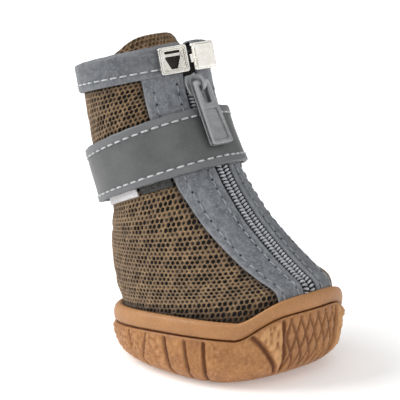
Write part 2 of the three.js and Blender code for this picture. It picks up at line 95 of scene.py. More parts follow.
def evenly(place, start, end, step, fine=3000):
    """Values from start to end whose places lie one step apart."""
    values = np.linspace(start, end, fine)
    run = run_along(place(values))
    return np.interp(np.arange(0, run[-1], step), run, values)


def round_edge(distance, radius):
    """Height of a rounded edge: 0 at the edge itself, and 1 from the radius inwards."""
    return np.sqrt(np.clip(1 - (1 - np.minimum(distance / radius, 1)) ** 2, 0, 1))


def there_and_back(top, low=None):
    """Values across a strip's face, then back again along its underside."""
    return np.r_[top, (top if low is None else low)[-2:0:-1]]


def from_front(angle):
    """Angle from the toe or the zip, the same on both sides."""
    return np.abs((angle + math.pi) % (2 * math.pi) - math.pi)


def through_rows(rows, at):
    """Smooth value of one column of a table between its rows."""
    at = np.asarray(at, float)
    first = np.clip(np.floor(at), 0, len(rows) - 2).astype(int)
    share = at - first
    before, low, high, after = (rows[np.clip(first + k, 0, len(rows) - 1)] for k in (-1, 0, 1, 2))
    bend = 2 * before - 5 * low + 4 * high - after
    twist = 3 * (low - high) + after - before
    return low + 0.5 * share * (high - before + share * (bend + share * twist))


def column(name, level):
    """Value of a column of LEVELS at a level. Above the collar it runs on straight."""
    rows = LEVELS[:, LEVEL_COLUMNS.index(name)]
    above = np.maximum(np.asarray(level, float) - COLLAR, 0)
    return through_rows(rows, np.minimum(level, COLLAR)) + above * (rows[COLLAR] - rows[BAND_LOW])


def oval(value, power):
    return np.sign(value) * np.abs(value) ** (2 / power)


def face_point(level, angle):
    power = column("power", level)
    share = (1 + oval(np.cos(angle), power)) / 2
    x = blend(column("back_x", level), column("front_x", level), share)
    z = blend(column("back_z", level), column("front_z", level), share)
    y = column("half_width", level) * oval(np.sin(angle), power)
    return stacked(x, y, z)


def skin(level, angle, out=0.0):
    """Point on the upper's face at a level and an angle round it, moved out square to the face."""
    step = 0.02
    low = np.clip(level, HEM + step, COLLAR - step)
    up = face_point(low + step, angle) - face_point(low - step, angle)
    around = face_point(low, angle + step) - face_point(low, angle - step)
    normal = np.cross(around, up)
    normal /= np.linalg.norm(normal, axis=-1, keepdims=True)
    return face_point(level, angle) + normal * np.asarray(out, float)[..., None]


def angle_at(level, side):
    share = np.clip(np.abs(side) / column("half_width", level), 0, 1)
    return np.sign(side) * np.arcsin(share ** (column("power", level) / 2))


def skin_at_side(level, side, out=0.0):
    return skin(level, angle_at(level, side), out)


def value_noise(across, along, cell, seed):
    """Smooth noise from -1 to 1 on a plane, with features about one cell wide."""
    size = 64
    grid = np.random.RandomState(seed).rand(size, size) * 2 - 1
    a, b = np.asarray(across) / cell, np.asarray(along) / cell
    i, j = np.floor(a).astype(int), np.floor(b).astype(int)
    u, v = a - i, b - j
    u, v = u * u * (3 - 2 * u), v * v * (3 - 2 * v)
    corner = lambda di, dj: grid[(i + di) % size, (j + dj) % size]
    return blend(blend(corner(0, 0), corner(1, 0), u), blend(corner(0, 1), corner(1, 1), u), v)


# ---- meshes --------------------------------------------------------------------------------------

TUBE_SIDES = 7


class Form:
    """Points, faces and painted values of a mesh that is put together from several closed bits."""

    def __init__(self):
        self.points, self.faces, self.paint, self.places = [], [], [], []

    def add(self, points, faces, paint=(0, 0, 0), places=(0, 0)):
        points = np.reshape(points, (-1, 3))
        base = sum(len(p) for p in self.points)
        self.points.append(points)
        self.faces += [tuple(base + i for i in face) for face in faces]
        self.paint.append(np.broadcast_to(np.reshape(paint, (-1, 3)), (len(points), 3)))
        self.places.append(np.broadcast_to(np.reshape(places, (-1, 2)), (len(points), 2)))
        return self

    def loft(self, rings, paint=(0, 0, 0), places=(0, 0)):
        """Closed skin through rings of points, capped at both ends."""
        rings = np.asarray(rings, float)
        count, size = rings.shape[:2]
        faces = [tuple(reversed(range(size))), tuple((count - 1) * size + i for i in range(size))]
        for low in range(0, (count - 1) * size, size):
            for i in range(size):
                j = (i + 1) % size
                faces.append((low + i, low + j, low + size + j, low + size + i))
        return self.add(rings, faces, paint, places)

    def tube(self, path, radii, up):
        path = np.asarray(path, float)
        run = np.gradient(path, axis=0)
        run /= np.linalg.norm(run, axis=1, keepdims=True)
        side = np.cross(run, up)
        side /= np.linalg.norm(side, axis=1, keepdims=True)
        top = np.cross(side, run)
        turns = np.arange(TUBE_SIDES) * 2 * math.pi / TUBE_SIDES
        rings = [p + r * (np.outer(np.cos(turns), a) + np.outer(np.sin(turns), b))
                 for p, r, a, b in zip(path, radii, side, top)]
        return self.loft(rings)

    def mesh(self, name):
        mesh = bpy.data.meshes.new(name)
        mesh.from_pydata((np.concatenate(self.points) * MM).tolist(), [], self.faces)
        return mesh

    def piece(self, name, slot, finish):
        """The form as a piece, with its paint and its flat places for the weave."""
        mesh = self.mesh(name)
        layer = mesh.color_attributes.new("Paint", "FLOAT_COLOR", "POINT")
        paint = np.concatenate(self.paint)
        layer.data.foreach_set("color", np.c_[paint, np.ones(len(paint))].ravel())
        corner = np.zeros(len(mesh.loops), int)
        mesh.loops.foreach_get("vertex_index", corner)
        places = np.concatenate(self.places)[corner].astype(np.float32)
        mesh.uv_layers.new(name="Cloth").uv.foreach_set("vector", places.ravel())
        return as_piece(mesh, slot, finish, BOOT)


def linked(name, data):
    """A new object with this data, in the scene."""
    obj = bpy.data.objects.new(name, data)
    bpy.context.scene.collection.objects.link(obj)
    return obj


def as_piece(mesh, slot, finish, body):
    """A mesh as a smooth piece of the boot, with its finish and its body. slot is not used."""
    mesh.materials.append(finish)
    mesh.polygons.foreach_set("use_smooth", [True] * len(mesh.polygons))
    obj = linked(mesh.name, mesh)
    tidy_mesh(obj)
    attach(obj, body)
    return obj


def tidy_mesh(obj):
    """Joins doubled points, drops empty faces and turns every face outwards."""
    work = bmesh.new()
    work.from_mesh(obj.data)
    bmesh.ops.remove_doubles(work, verts=work.verts, dist=2e-7)
    bmesh.ops.dissolve_degenerate(work, edges=work.edges, dist=1e-8)
    bmesh.ops.recalc_face_normals(work, faces=work.faces)
    work.to_mesh(obj.data)
    work.free()


def wall_faces(rows, columns, around=False, hole=lambda row, col: False):
    """Faces of a closed wall between an outer and an inner grid, given one after the other."""
    at = lambda side, row, col: side * rows * columns + row * columns + col % columns
    cells = columns if around else columns - 1

    def filled(row, col):
        if not 0 <= row < rows - 1 or not (around or 0 <= col < cells):
            return False
        return not hole(row, col % cells)

    faces = []
    for row in range(rows - 1):
        for col in range(cells):
            if not filled(row, col):
                continue
            a, b, c, d = (row, col), (row, col + 1), (row + 1, col + 1), (row + 1, col)
            faces.append(tuple(at(0, *p) for p in (a, b, c, d)))
            faces.append(tuple(at(1, *p) for p in (a, d, c, b)))
            for (p, q), beside in (((a, b), (row - 1, col)), ((c, d), (row + 1, col)),
                                   ((d, a), (row, col - 1)), ((b, c), (row, col + 1))):
                if not filled(*beside):
                    faces.append((at(0, *p), at(1, *p), at(1, *q), at(0, *q)))
    return faces


# ---- shader groups -------------------------------------------------------------------------------


def tone(red, green, blue):
    """Linear colour of a printed 0 to 255 shade."""
    line = lambda v: v / 12.92 if v <= 0.04045 else ((v + 0.055) / 1.055) ** 2.4
    return (line(red / 255), line(green / 255), line(blue / 255), 1)


def feed(tree, socket, value):
    """Links a socket to another one, or gives it a plain value."""
    if isinstance(value, bpy.types.NodeSocket):
        tree.links.new(value, socket)
    else:
        socket.default_value = value


def node(tree, kind, inputs=None, **settings):
    made = tree.nodes.new(kind)
    for key, value in settings.items():
        setattr(made, key, value)
    for key, value in (inputs or {}).items():
        feed(tree, made.inputs[key], value)
    return made


def maths(tree, operation, *values):
    return node(tree, "ShaderNodeMath", dict(enumerate(values)), operation=operation).outputs[0]


def mixed(tree, share, low, high):
    return node(tree, "ShaderNodeMix", {0: share, 6: low, 7: high}, data_type="RGBA").outputs[2]


def laid_over(tree, mask, share, under, over):
    """One colour over another through a mask, with at most a share of its strength."""
    return mixed(tree, maths(tree, "MULTIPLY", mask, share), under, over)


def spread(tree, value, low, high, to_low=0.0, to_high=1.0):
    """Spreads the values between low and high over the span from to_low to to_high."""
    return node(tree, "ShaderNodeMapRange", {"Value": value, "From Min": low, "From Max": high,
                                             "To Min": to_low, "To Max": to_high}).outputs[0]


def noise(tree, where, scale, detail, roughness=0.5):
    return node(tree, "ShaderNodeTexNoise", {"Vector": where, "Scale": scale, "Detail": detail,
                                             "Roughness": roughness}).outputs["Fac"]


COLOUR, VALUE = "NodeSocketColor", "NodeSocketFloat"
BLACK, GREY, WHITE = (0, 0, 0, 1), (0.5, 0.5, 0.5, 1), (1, 1, 1, 1)


def group(name, build, inputs, outputs):
    """A shader node group. Inputs come with the value they start from, outputs with their kind."""
    tree = bpy.data.node_groups.new(name, "ShaderNodeTree")
    for label, value in inputs.items():
        kind = COLOUR if isinstance(value, tuple) else VALUE
        tree.interface.new_socket(label, in_out="INPUT", socket_type=kind).default_value = value
    for label, kind in outputs.items():
        tree.interface.new_socket(label, in_out="OUTPUT", socket_type=kind)
    given = tree.nodes.new("NodeGroupInput").outputs
    result = tree.nodes.new("NodeGroupOutput").inputs
    for label, socket in build(tree, given).items():
        tree.links.new(socket, result[label])
    return tree


def place_of(tree):
    return node(tree, "ShaderNodeTexCoord").outputs["Object"]


def build_mottle(tree, given):
    """Cloudy blotches with small flecks over them."""
    where = place_of(tree)
    cloud = spread(tree, noise(tree, where, given["Blotch scale"], 4.0, 0.6), 0.36, 0.64)
    fine = noise(tree, where, given["Fleck scale"], 2.0)
    base = mixed(tree, cloud, given["Dark"], given["Light"])
    flecked = laid_over(tree, spread(tree, fine, 0.5, 0.68), given["Fleck share"], base, given["Fleck"])
    return {"Colour": flecked, "Height": fine, "Cloud": cloud}


def build_weave(tree, given):
    """Plain weave from the cloth's own flat lengths: over and under threads."""
    flat = node(tree, "ShaderNodeUVMap", uv_map="Cloth").outputs[0]
    parts = node(tree, "ShaderNodeSeparateXYZ", {0: flat}).outputs
    warp, weft = (maths(tree, "SINE", maths(tree, "MULTIPLY", parts[k], given["Threads"])) for k in (0, 1))
    high = maths(tree, "ABSOLUTE", maths(tree, "MULTIPLY", warp, weft))
    return {"Height": high, "Gaps": maths(tree, "SUBTRACT", 1.0, high)}


def build_grain(tree, given):
    """Fine skin of a moulded face: small pores on a slow unevenness."""
    where = place_of(tree)
    pores = node(tree, "ShaderNodeTexVoronoi", {"Vector": where, "Scale": given["Pore scale"]})
    slow = noise(tree, where, given["Slow scale"], 3.0)
    return {"Height": maths(tree, "ADD", pores.outputs["Distance"], slow), "Speckle": slow}


def build_wear_and_shade(tree, given):
    """Lighter on sharp edges, as wear and painted highlight, and darker in hollows, as painted shade. A flat
    face has a sharpness of one half.
    """
    sharp = node(tree, "ShaderNodeNewGeometry").outputs["Pointiness"]
    rubbed = spread(tree, sharp, 0.5, given["Edge at"])
    sunk = spread(tree, sharp, 0.5, given["Hollow at"])
    lit = laid_over(tree, rubbed, given["Edge share"], given["Colour"], given["Edge"])
    return {"Colour": laid_over(tree, sunk, given["Hollow share"], lit, given["Hollow"])}


MOTTLE = group("Mottle", build_mottle,
               {"Dark": BLACK, "Light": WHITE, "Fleck": WHITE,
                "Blotch scale": 200, "Fleck scale": 900, "Fleck share": 0.5},
               {"Colour": COLOUR, "Height": VALUE, "Cloud": VALUE})
WEAVE = group("Plain weave", build_weave, {"Threads": 6.0}, {"Height": VALUE, "Gaps": VALUE})
GRAIN = group("Moulded grain", build_grain, {"Pore scale": 1500, "Slow scale": 300},
              {"Height": VALUE, "Speckle": VALUE})
WEAR_AND_SHADE = group("Worn edges and shaded hollows", build_wear_and_shade,
             {"Colour": GREY, "Edge": WHITE, "Hollow": BLACK,
              "Edge at": 0.56, "Hollow at": 0.44, "Edge share": 0.4, "Hollow share": 0.4},
             {"Colour": COLOUR})


def use(tree, which, **inputs):
    """Places a group in a material. Its inputs are named with _ for a space."""
    made = node(tree, "ShaderNodeGroup", node_tree=which)
    for key, value in inputs.items():
        feed(tree, made.inputs[key.replace("_", " ")], value)
    return made.outputs


# ---- materials -----------------------------------------------------------------------------------


def material(name, build, **fixed):
    """A Principled material. fixed holds the shader's plain values, with _ for a space. build makes
    the nodes and says what feeds the shader, and the height and depth in mm of its bump."""
    made = bpy.data.materials.new(name)
    made.use_nodes = True
    tree = made.node_tree
    shader = next(n for n in tree.nodes if n.type == "BSDF_PRINCIPLED")
    for key, value in fixed.items():
        shader.inputs[key.replace("_", " ")].default_value = value
    fed = build(tree)
    if "Height" in fed:
        height, depth = fed.pop("Height")
        raised = node(tree, "ShaderNodeBump", {"Height": height, "Distance": depth * MM, "Strength": 1.0})
        fed["Normal"] = raised.outputs[0]
    for key, socket in fed.items():
        tree.links.new(socket, shader.inputs[key])
    return made


def painted(tree):
    """The three painted values of a mesh, as separate numbers."""
    paint = node(tree, "ShaderNodeAttribute", attribute_name="Paint", attribute_type="GEOMETRY")
    return node(tree, "ShaderNodeSeparateColor", {0: paint.outputs["Color"]}).outputs


def mottled(tree, tones, grain, shade=1.0):
    """Mottle of three tones, dark, light and fleck. grain is the scale of its blotches, the scale of
    its flecks and the flecks' share. shade darkens the tones."""
    dark, light, fleck = (tone(*(value * shade for value in row)) for row in tones)
    blotch_scale, fleck_scale, fleck_share = grain
    return use(tree, MOTTLE, Dark=dark, Light=light, Fleck=fleck,
               Blotch_scale=blotch_scale, Fleck_scale=fleck_scale, Fleck_share=fleck_share)


def worn_and_shaded(tree, colour, edge, hollow, at, share):
    """Edges lighter, as wear and painted highlight, and hollows darker, as painted shade. at and share are a
    value for the edges and one for the hollows.
    """
    return use(tree, WEAR_AND_SHADE, Colour=colour, Edge=tone(*edge), Hollow=tone(*hollow),
               Edge_at=at[0], Hollow_at=at[1], Edge_share=share[0], Hollow_share=share[1])["Colour"]


def finish(name, tones, grain, relief, shade=1.0, weave=None, wear_and_shade=None, gloss=None, **fixed):
    """A material with one mottled colour and a relief in mm. It may be woven, lighter at its edges as wear
    and painted highlight and darker in its hollows as painted shade, or cloudy in its roughness between
    the two values of gloss."""

    def build(tree):
        base = mottled(tree, tones, grain, shade)
        colour, height = base["Colour"], base["Height"]
        if weave:
            woven = use(tree, WEAVE, Threads=weave["threads"])
            colour = laid_over(tree, woven["Gaps"], weave["share"], colour, tone(*weave["gap"]))
            height = woven["Height"]
        if wear_and_shade:
            colour = worn_and_shaded(tree, colour, **wear_and_shade)
        fed = {"Base Color": colour, "Height": (height, relief)}
        if gloss:
            fed["Roughness"] = spread(tree, base["Cloud"], 0.0, 1.0, *gloss)
        return fed

    return material(name, build, **fixed)


def knit_nodes(tree):
    """Paint: how deep in a hole, for painted shade in the holes; how near an edge with painted shade; and the
    cell's own random tone.
    """
    pit, edge, shade = painted(tree)
    threads = mottled(tree, ((96, 74, 50), (136, 109, 77), (178, 149, 111)), (260, 1900, 0.6))
    toned = laid_over(tree, shade, 0.5, threads["Colour"], tone(96, 76, 56))
    # Painted shade along the lip, beside the zip facings and under strap and binding.
    edge_shaded = laid_over(tree, edge, 0.75, toned, tone(36, 26, 18))
    # Rims and floors of the holes darken towards near black: painted shade in the holes.
    depth = spread(tree, pit, 0.16, 0.7)
    return {"Base Color": mixed(tree, depth, edge_shaded, tone(16, 10, 6)), "Height": (threads["Height"], 0.25)}


def rubber_nodes(tree):
    """Paint: relief of the side, painted lighter as a highlight on its raised parts; the lip; and painted
    shade in the grooves.
    """
    relief, lip, groove_shade = painted(tree)
    body = mottled(tree, ((144, 95, 52), (167, 115, 66), (192, 141, 90)), (150, 1100, 0.35))
    rim = laid_over(tree, lip, 0.55, body["Colour"], tone(172, 125, 81))
    # Raised parts of the side's pattern lighter: a painted highlight.
    raised = laid_over(tree, relief, 0.85, rim, tone(204, 155, 104))
    # Grooves darker: painted shade.
    sunk = mixed(tree, groove_shade, raised, tone(98, 52, 20))
    # Sharp edges lighter, as wear and painted highlight, and hollows darker, as painted shade.
    colour = worn_and_shaded(tree, sunk, (200, 151, 102), (100, 54, 20), (0.6, 0.42), (0.35, 0.55))
    grain = use(tree, GRAIN, Pore_scale=1500, Slow_scale=420)
    gloss = spread(tree, grain["Speckle"], 0.0, 1.0, 0.38, 0.6)
    return {"Base Color": colour, "Roughness": gloss, "Height": (grain["Height"], 0.1)}


def strap_nodes(tree):
    """Smooth coated webbing with hems lighter as a painted highlight. Paint: the hem, and the stitch line's
    hollow, darker as painted shade.
    """
    hem, hollow, _ = painted(tree)
    cloth = mottled(tree, ((77, 78, 78), (88, 89, 89), (112, 113, 113)), (120, 2200, 0.25))
    # Hems lighter: painted highlight.
    hems = laid_over(tree, hem, 0.6, cloth["Colour"], tone(112, 114, 116))
    # Stitch line's hollow darker: painted shade.
    colour = laid_over(tree, hollow, 0.5, hems, tone(58, 60, 62))
    return {"Base Color": colour, "Height": (cloth["Height"], 0.05)}


def coated(name, shade):
    """Coated cloth: blue grey, cloudy and faintly crazed, its edges lighter as wear and painted highlight and
    its hollows darker as painted shade.
    """
    return finish(name, ((88, 91, 96), (116, 119, 124), (150, 152, 155)), (330, 1250, 0.45), 0.16, shade,
                  wear_and_shade={"edge": (158, 160, 163), "hollow": (62, 65, 70),
                        "at": (0.6, 0.42), "share": (0.5, 0.5)},
                  Roughness=0.5, Specular_IOR_Level=0.45)


KNIT = material("Knitted mesh", knit_nodes, Roughness=0.85, Sheen_Weight=0.15)
LINING = finish("Dark lining", ((24, 20, 17), (46, 39, 33), (70, 60, 50)), (500, 1500, 0.3), 0.2,
                Roughness=0.95)
RUBBER = material("Gum rubber", rubber_nodes, Specular_IOR_Level=0.4)
FOAM = finish("Insole foam", ((30, 28, 27), (52, 49, 46), (78, 74, 70)), (300, 1600, 0.4), 0.2,
              Roughness=0.95)
FACING = coated("Coated facing cloth", 1.0)
BINDING = coated("Coated binding cloth", 0.88)
STRAP_CLOTH = material("Coated strap webbing", strap_nodes, Roughness=0.42, Specular_IOR_Level=0.5)
# Dark tones: partly the tape's own colour and partly painted shade in the gap between the facings.
TAPE = finish("Zip tape", ((26, 27, 29), (44, 45, 48), (62, 63, 66)), (500, 1800, 0.3), 0.1,
              weave={"threads": 9, "share": 0.5, "gap": (30, 31, 34)}, Roughness=0.85)
COIL = finish("Nylon coil", ((150, 152, 156), (190, 192, 195), (214, 215, 217)), (600, 2500, 0.3), 0.04,
              Roughness=0.35)
LOOP = finish("Loop pile", ((44, 44, 43), (76, 76, 75), (104, 104, 102)), (900, 2400, 0.5), 0.35,
              Roughness=0.95)
LABEL = finish("Blank white tape", ((214, 212, 212), (236, 234, 234), (246, 245, 245)), (300, 1500, 0.3),
               0.06, weave={"threads": 11, "share": 0.3, "gap": (176, 174, 176)}, Roughness=0.85)
THREAD = finish("White thread", ((166, 168, 170), (200, 201, 202), (222, 222, 222)), (900, 4000, 0.4),
                0.05, Roughness=0.6)
GREY_THREAD = finish("Grey thread", ((126, 129, 133), (158, 160, 163), (186, 187, 189)),
                     (900, 4000, 0.4), 0.05, Roughness=0.6)
# Near black: painted shade in the needle holes.
NEEDLE = finish("Needle holes", ((10, 11, 12), (26, 27, 29), (44, 45, 48)), (900, 3000, 0.2), 0.05,
                Roughness=0.9)
# Polished nickel: its edges lighter, as wear and painted highlight, and its hollows brownish dark, as painted
# shade.
NICKEL = finish("Polished nickel", ((222, 217, 207), (240, 237, 229), (250, 248, 244)),
                (260, 1600, 0.3), 0.012, gloss=(0.14, 0.26), Metallic=1.0,
                wear_and_shade={"edge": (250, 249, 246), "hollow": (120, 108, 94),
                      "at": (0.58, 0.44), "share": (0.6, 0.6)})
# A dark plate that stands for the shade seen through the clasp's window: painted shade.
CLASP_WINDOW_SHADE = finish("Dark backing for painted shade", ((26, 23, 20), (44, 39, 33), (66, 60, 53)), (500, 2400, 0.4), 0.05,
                    Roughness=0.6, Metallic=0.5)
# Grey paint: edges lighter, as wear and painted highlight, and hollows darker, as painted shade.
PAINTED_METAL = finish("Grey painted metal", ((110, 112, 114), (134, 135, 137), (156, 157, 158)),
                       (320, 1900, 0.4), 0.03, Roughness=0.38, Metallic=0.35,
                       wear_and_shade={"edge": (188, 189, 190), "hollow": (60, 61, 64),
                             "at": (0.57, 0.44), "share": (0.7, 0.6)})

# ---- sole ----------------------------------------------------------------------------------------

SOLE_HALF_LENGTH, SOLE_HALF_WIDTH, SOLE_POWER = 37.2, 31.0, 2.3
SPRING_START, SPRING_RISE = 14.0, 6.0
SOLE_FLOOR, SOLE_WALL = 4.6, 3.2
HEEL_LIP, BALL_X, BALL_LIP = 14.6, 24.0, 21.4
BUMPER_START, BUMPER_END, BUMPER_RISE = 25.5, 37.0, 7.6
# Rings of the outside, from the tread up to the lip: inset from the outline, share of the way from
# the ground up to the lip, and rise above that.
SOLE_RINGS = np.array((
    (12.0, 0, 0.0), (7.6, 0, 0.35), (4.8, 0, 1.3), (2.4, 0, 3.1), (0.9, 0, 5.4), (0.1, 0.35, 2.6),
    (0.2, 1, -6.1), (1.2, 1, -5.7), (1.2, 1, -5.3), (0.3, 1, -4.7), (0.0, 1, -2.6), (0.4, 1, -0.8),
    (1.3, 1, 0.0),
))
GROOVE_RING, LIP_RING = 6.0, 9.0
CHANNEL_COLUMNS = (-25.5, -15.3, -5.1, 5.1, 14.1)
CHANNEL_HALF_WIDTH, CHANNEL_DEPTH = 1.2, 1.3
# Grooves down the side: where each starts at the top, how far it has run to the toe at the bottom,
# and its half width and depth.
SIDE_GROOVES = (
    {"x": -31.0, "lean": 1.5, "reach": 0.55, "depth": 0.9},
    {"x": -22.5, "lean": -5.0, "reach": 0.45, "depth": 0.65},
    {"x": -14.0, "lean": 2.5, "reach": 0.55, "depth": 1.0},
    {"x": -5.0, "lean": -3.0, "reach": 0.45, "depth": 0.6},
    {"x": 3.0, "lean": 2.2, "reach": 0.6, "depth": 1.2},
    {"x": 10.8, "lean": 1.6, "reach": 0.45, "depth": 0.75},
    {"x": 17.5, "lean": 0.5, "reach": 0.65, "depth": 1.25},
    {"x": 30.0, "lean": 9.0, "reach": 0.6, "depth": 1.2},
    {"x": 35.4, "lean": 0.8, "reach": 0.6, "depth": 1.2},
)
DIAMOND_WIDTH, DIAMOND_HEIGHT = 3.7, 8.6
SIDE_HEIGHT, LATTICE_LINE = 14.0, 0.12
SIDE_FOOT, SIDE_HEAD = 1.5, 6.1  # from this far above the ground, to this far below the lip
AROUND = 720


def outline(angle, inset):
    x = (SOLE_HALF_LENGTH - inset) * oval(np.cos(angle), SOLE_POWER)
    return x, (SOLE_HALF_WIDTH - inset) * oval(np.sin(angle), SOLE_POWER)


def toe_spring(x):
    return SPRING_RISE * np.clip((x - SPRING_START) / (SOLE_HALF_LENGTH - SPRING_START), 0, None) ** 2


def sole_ring(angles, inset, height):
    """A ring inside the sole's outline, at a height above its sprung underside."""
    x, y = outline(angles, inset)
    return stacked(x, y, height + toe_spring(x))


def lip_height(x):
    behind = np.clip((BALL_X - x) / (BALL_X + SOLE_HALF_LENGTH), 0, None)
    return blend(BALL_LIP, HEEL_LIP, behind ** 2) + BUMPER_RISE * smooth(x, BUMPER_START, BUMPER_END)


def lip_level(angle):
    hem, lip = skin(HEM, angle, GAP), skin(LIP, angle, GAP)
    return np.clip((lip_height(lip[..., 0]) - hem[..., 2]) / (lip[..., 2] - hem[..., 2]), 0, 1)


def runs_from_toe(angles):
    """Length along the sole's outline from the tip of the toe, the same on both sides."""
    fine = np.linspace(0, math.pi, 2000)
    x, y = outline(fine, 0)
    run = run_along(stacked(x, y))
    at_x = lambda wanted: float(np.interp(-wanted, -x, run))
    return np.interp(from_front(angles), fine, run), at_x


def side_relief(run, climb, at_x):
    """Depth of the side's pattern and how much painted shade its grooves get. climb is 0 at the tread and 1
    under the lip.
    """
    depth, groove_shade = np.zeros(run.shape), np.zeros(run.shape)
    heel_edge, block_back, block_front, lug_edge, toe_edge = (at_x(row["x"]) for row in SIDE_GROOVES[-5:])
    for row in SIDE_GROOVES:
        line = at_x(row["x"]) - row["lean"] * (1 - climb)
        cut = bump(run, line, row["reach"])
        depth += row["depth"] * cut
        groove_shade = np.maximum(groove_shade, cut * min(1.0, row["depth"] + 0.1))
    toe = 1 - smooth(run, toe_edge - 1.2, toe_edge - 0.6)
    lattice = np.zeros(run.shape)
    for way in (-1, 1):
        line = run / DIAMOND_WIDTH + way * climb * SIDE_HEIGHT / DIAMOND_HEIGHT
        lattice = np.maximum(lattice, bump(line - np.round(line), 0, LATTICE_LINE))
    depth += toe * lattice
    groove_shade = np.maximum(groove_shade, 0.5 * toe * lattice)
    slope = lug_edge - SIDE_GROOVES[-2]["lean"] * (1 - climb)
    lug = smooth(run, toe_edge + 0.5, toe_edge + 1.2) * (1 - smooth(run, slope - 1.4, slope - 0.7))
    heel = smooth(run, heel_edge + 1, heel_edge + 2)
    block = smooth(run, block_front + 0.8, block_front + 1.5)
    block = block * (1 - smooth(run, block_back - 0.8, block_back))
    rough = 0.5 * lug + 0.16 * heel + 0.2
    pebble = value_noise(run, climb * 13, 0.95, 3) + 0.6 * value_noise(run, climb * 13, 0.5, 4)
    depth -= rough * pebble * (1 - toe) * 0.8
    depth += 0.5 * block * smooth(climb, 0.15, 0.3) - 0.5 * lug * smooth(climb, 0.02, 0.12)
    return depth, groove_shade


def make_sole():
    angles = np.arange(AROUND) * 2 * math.pi / AROUND
    run, at_x = runs_from_toe(angles)
    rings = [sole_ring(angles, inset, 0) for inset in (31.0, 28.0, 25.0, 22.0, 19.0, 16.5, 14.0)]
    paint = [np.zeros((AROUND, 3))] * len(rings)
    tread_rings = len(rings) + 12
    rows = np.r_[np.linspace(0, 2, 7)[:-1], np.linspace(2, GROOVE_RING, 33)[:-1],
                 np.linspace(GROOVE_RING, LIP_RING, 16)[:-1], np.linspace(LIP_RING, 12, 16)]
    for row in rows:
        inset, share, rise = (through_rows(SOLE_RINGS[:, k], row) for k in range(3))
        x, y = outline(angles, inset)
        ground = toe_spring(x)
        z = ground + (lip_height(x) - ground) * share + rise
        foot = ground + SIDE_FOOT
        climb = np.clip((z - foot) / (lip_height(x) - SIDE_HEAD - foot), 0, 1)
        depth, groove_shade = side_relief(run, climb, at_x)
        window = smooth(row, 1.4, 2.6) * (1 - smooth(row, 5.7, 6.1))
        x, y = outline(angles, inset + depth * window)
        rings.append(stacked(x, y, z))
        # seam is the groove under the lip, which gets painted shade like the side's grooves.
        seam = bump(row, 7.5, 1.1)
        # relief marks the raised parts of the side's pattern for their painted highlight.
        relief = np.clip(-depth * 1.6, 0, 1) * window
        lip = smooth(row, 8.6, 9.4)
        paint.append(stacked(relief, lip, np.clip(np.maximum(groove_shade * window, seam), 0, 1)))
    for ring in rings[:tread_rings]:
        across = np.min(np.abs(ring[:, :1] - np.array(CHANNEL_COLUMNS)), axis=1)
        floor = CHANNEL_DEPTH * (1 - smooth(across, CHANNEL_HALF_WIDTH - 0.25, CHANNEL_HALF_WIDTH + 0.25))
        ring[:, 2] = np.maximum(ring[:, 2], floor)
    for share in (0.97, 0.5, 0.0):
        rings.append(skin(HEM + share * lip_level(angles), angles, GAP))
    for inset, height in ((SOLE_WALL + 0.4, SOLE_FLOOR + 2.6), (SOLE_WALL + 1.6, SOLE_FLOOR),
                          (20.0, SOLE_FLOOR)):
        rings.append(sole_ring(angles, inset, height))
    paint += [np.zeros((AROUND, 3))] * (len(rings) - len(paint))
    sole = Form().loft(rings, paint).piece("cup_sole", "gum_rubber", RUBBER)
    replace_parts(sole, "outsole")


def make_insole():
    angles = np.arange(144) * 2 * math.pi / 144
    edge, low, high = SOLE_WALL + 2.2, SOLE_FLOOR + GAP, SOLE_FLOOR + GAP + 2.4
    profile = ((20, low), (edge + 0.4, low), (edge, low + 0.4), (edge - 0.3, low + 1.2),
               (edge, high - 0.5), (edge + 0.5, high - 0.1), (edge + 1.5, high), (20, high - 0.3))
    rings = [sole_ring(angles, inset, height) for inset, height in profile]
    insole = Form().loft(rings).piece("foot_bed", "foam", FOAM)
    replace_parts(insole, "insole")


# ---- knitted upper -------------------------------------------------------------------------------

HOLE_PITCH = 1.7
HOLE_SHEAR = 0.3
CLOSED_EVERY = 4
# CLOSED_PIT is the share of the holes' painted shade that a nearly closed hole gets.
CLOSED_SIZE, CLOSED_DEPTH, CLOSED_PIT = 0.8, 0.6, 0.62
KNIT_LOW, KNIT_HIGH = 0.45, 8.25
LINING_FACE = 1.3
RIM_SHARE, FLOOR_SHARE = 0.82, 0.6
HOLE_DEPTH, RIM_DEPTH = 0.75, 0.06
HEX_CORNERS = ((0, 2), (-1, 1), (-1, -1), (0, -2), (1, -1), (1, 1))
# Soft creases of the upper: a trough where depth is below 0 and a ridge where it is above. The level
# and angle are the middle, slope is the climb of its line, and the reaches are its half sizes.
CREASES = (
    {"level": 5.2, "angle": 1.75, "slope": 0.35, "long": 0.55, "wide": 0.16, "depth": -0.40},
    {"level": 5.5, "angle": 1.70, "slope": 0.35, "long": 0.50, "wide": 0.14, "depth": 0.22},
    {"level": 4.3, "angle": 2.20, "slope": 0.25, "long": 0.50, "wide": 0.20, "depth": -0.38},
    {"level": 4.7, "angle": 2.30, "slope": 0.25, "long": 0.45, "wide": 0.16, "depth": 0.20},
    {"level": 3.5, "angle": 1.35, "slope": -0.30, "long": 0.35, "wide": 0.22, "depth": -0.32},
    {"level": 7.3, "angle": 1.90, "slope": 0.20, "long": 0.60, "wide": 0.10, "depth": -0.34},
    {"level": 7.6, "angle": 1.50, "slope": -0.15, "long": 0.45, "wide": 0.12, "depth": 0.20},
    {"level": 2.3, "angle": 2.50, "slope": 0.10, "long": 0.45, "wide": 0.22, "depth": -0.28},
)


def crease(level, angle):
    """How far the creases move the upper's face. They lie alike on both sides."""
    folded = from_front(angle)
    moved = 0
    for row in CREASES:
        line = row["level"] + row["slope"] * (folded - row["angle"])
        swell = bump(level, line, row["wide"]) * bump(folded, row["angle"], row["long"])
        moved = moved + row["depth"] * swell
    return moved


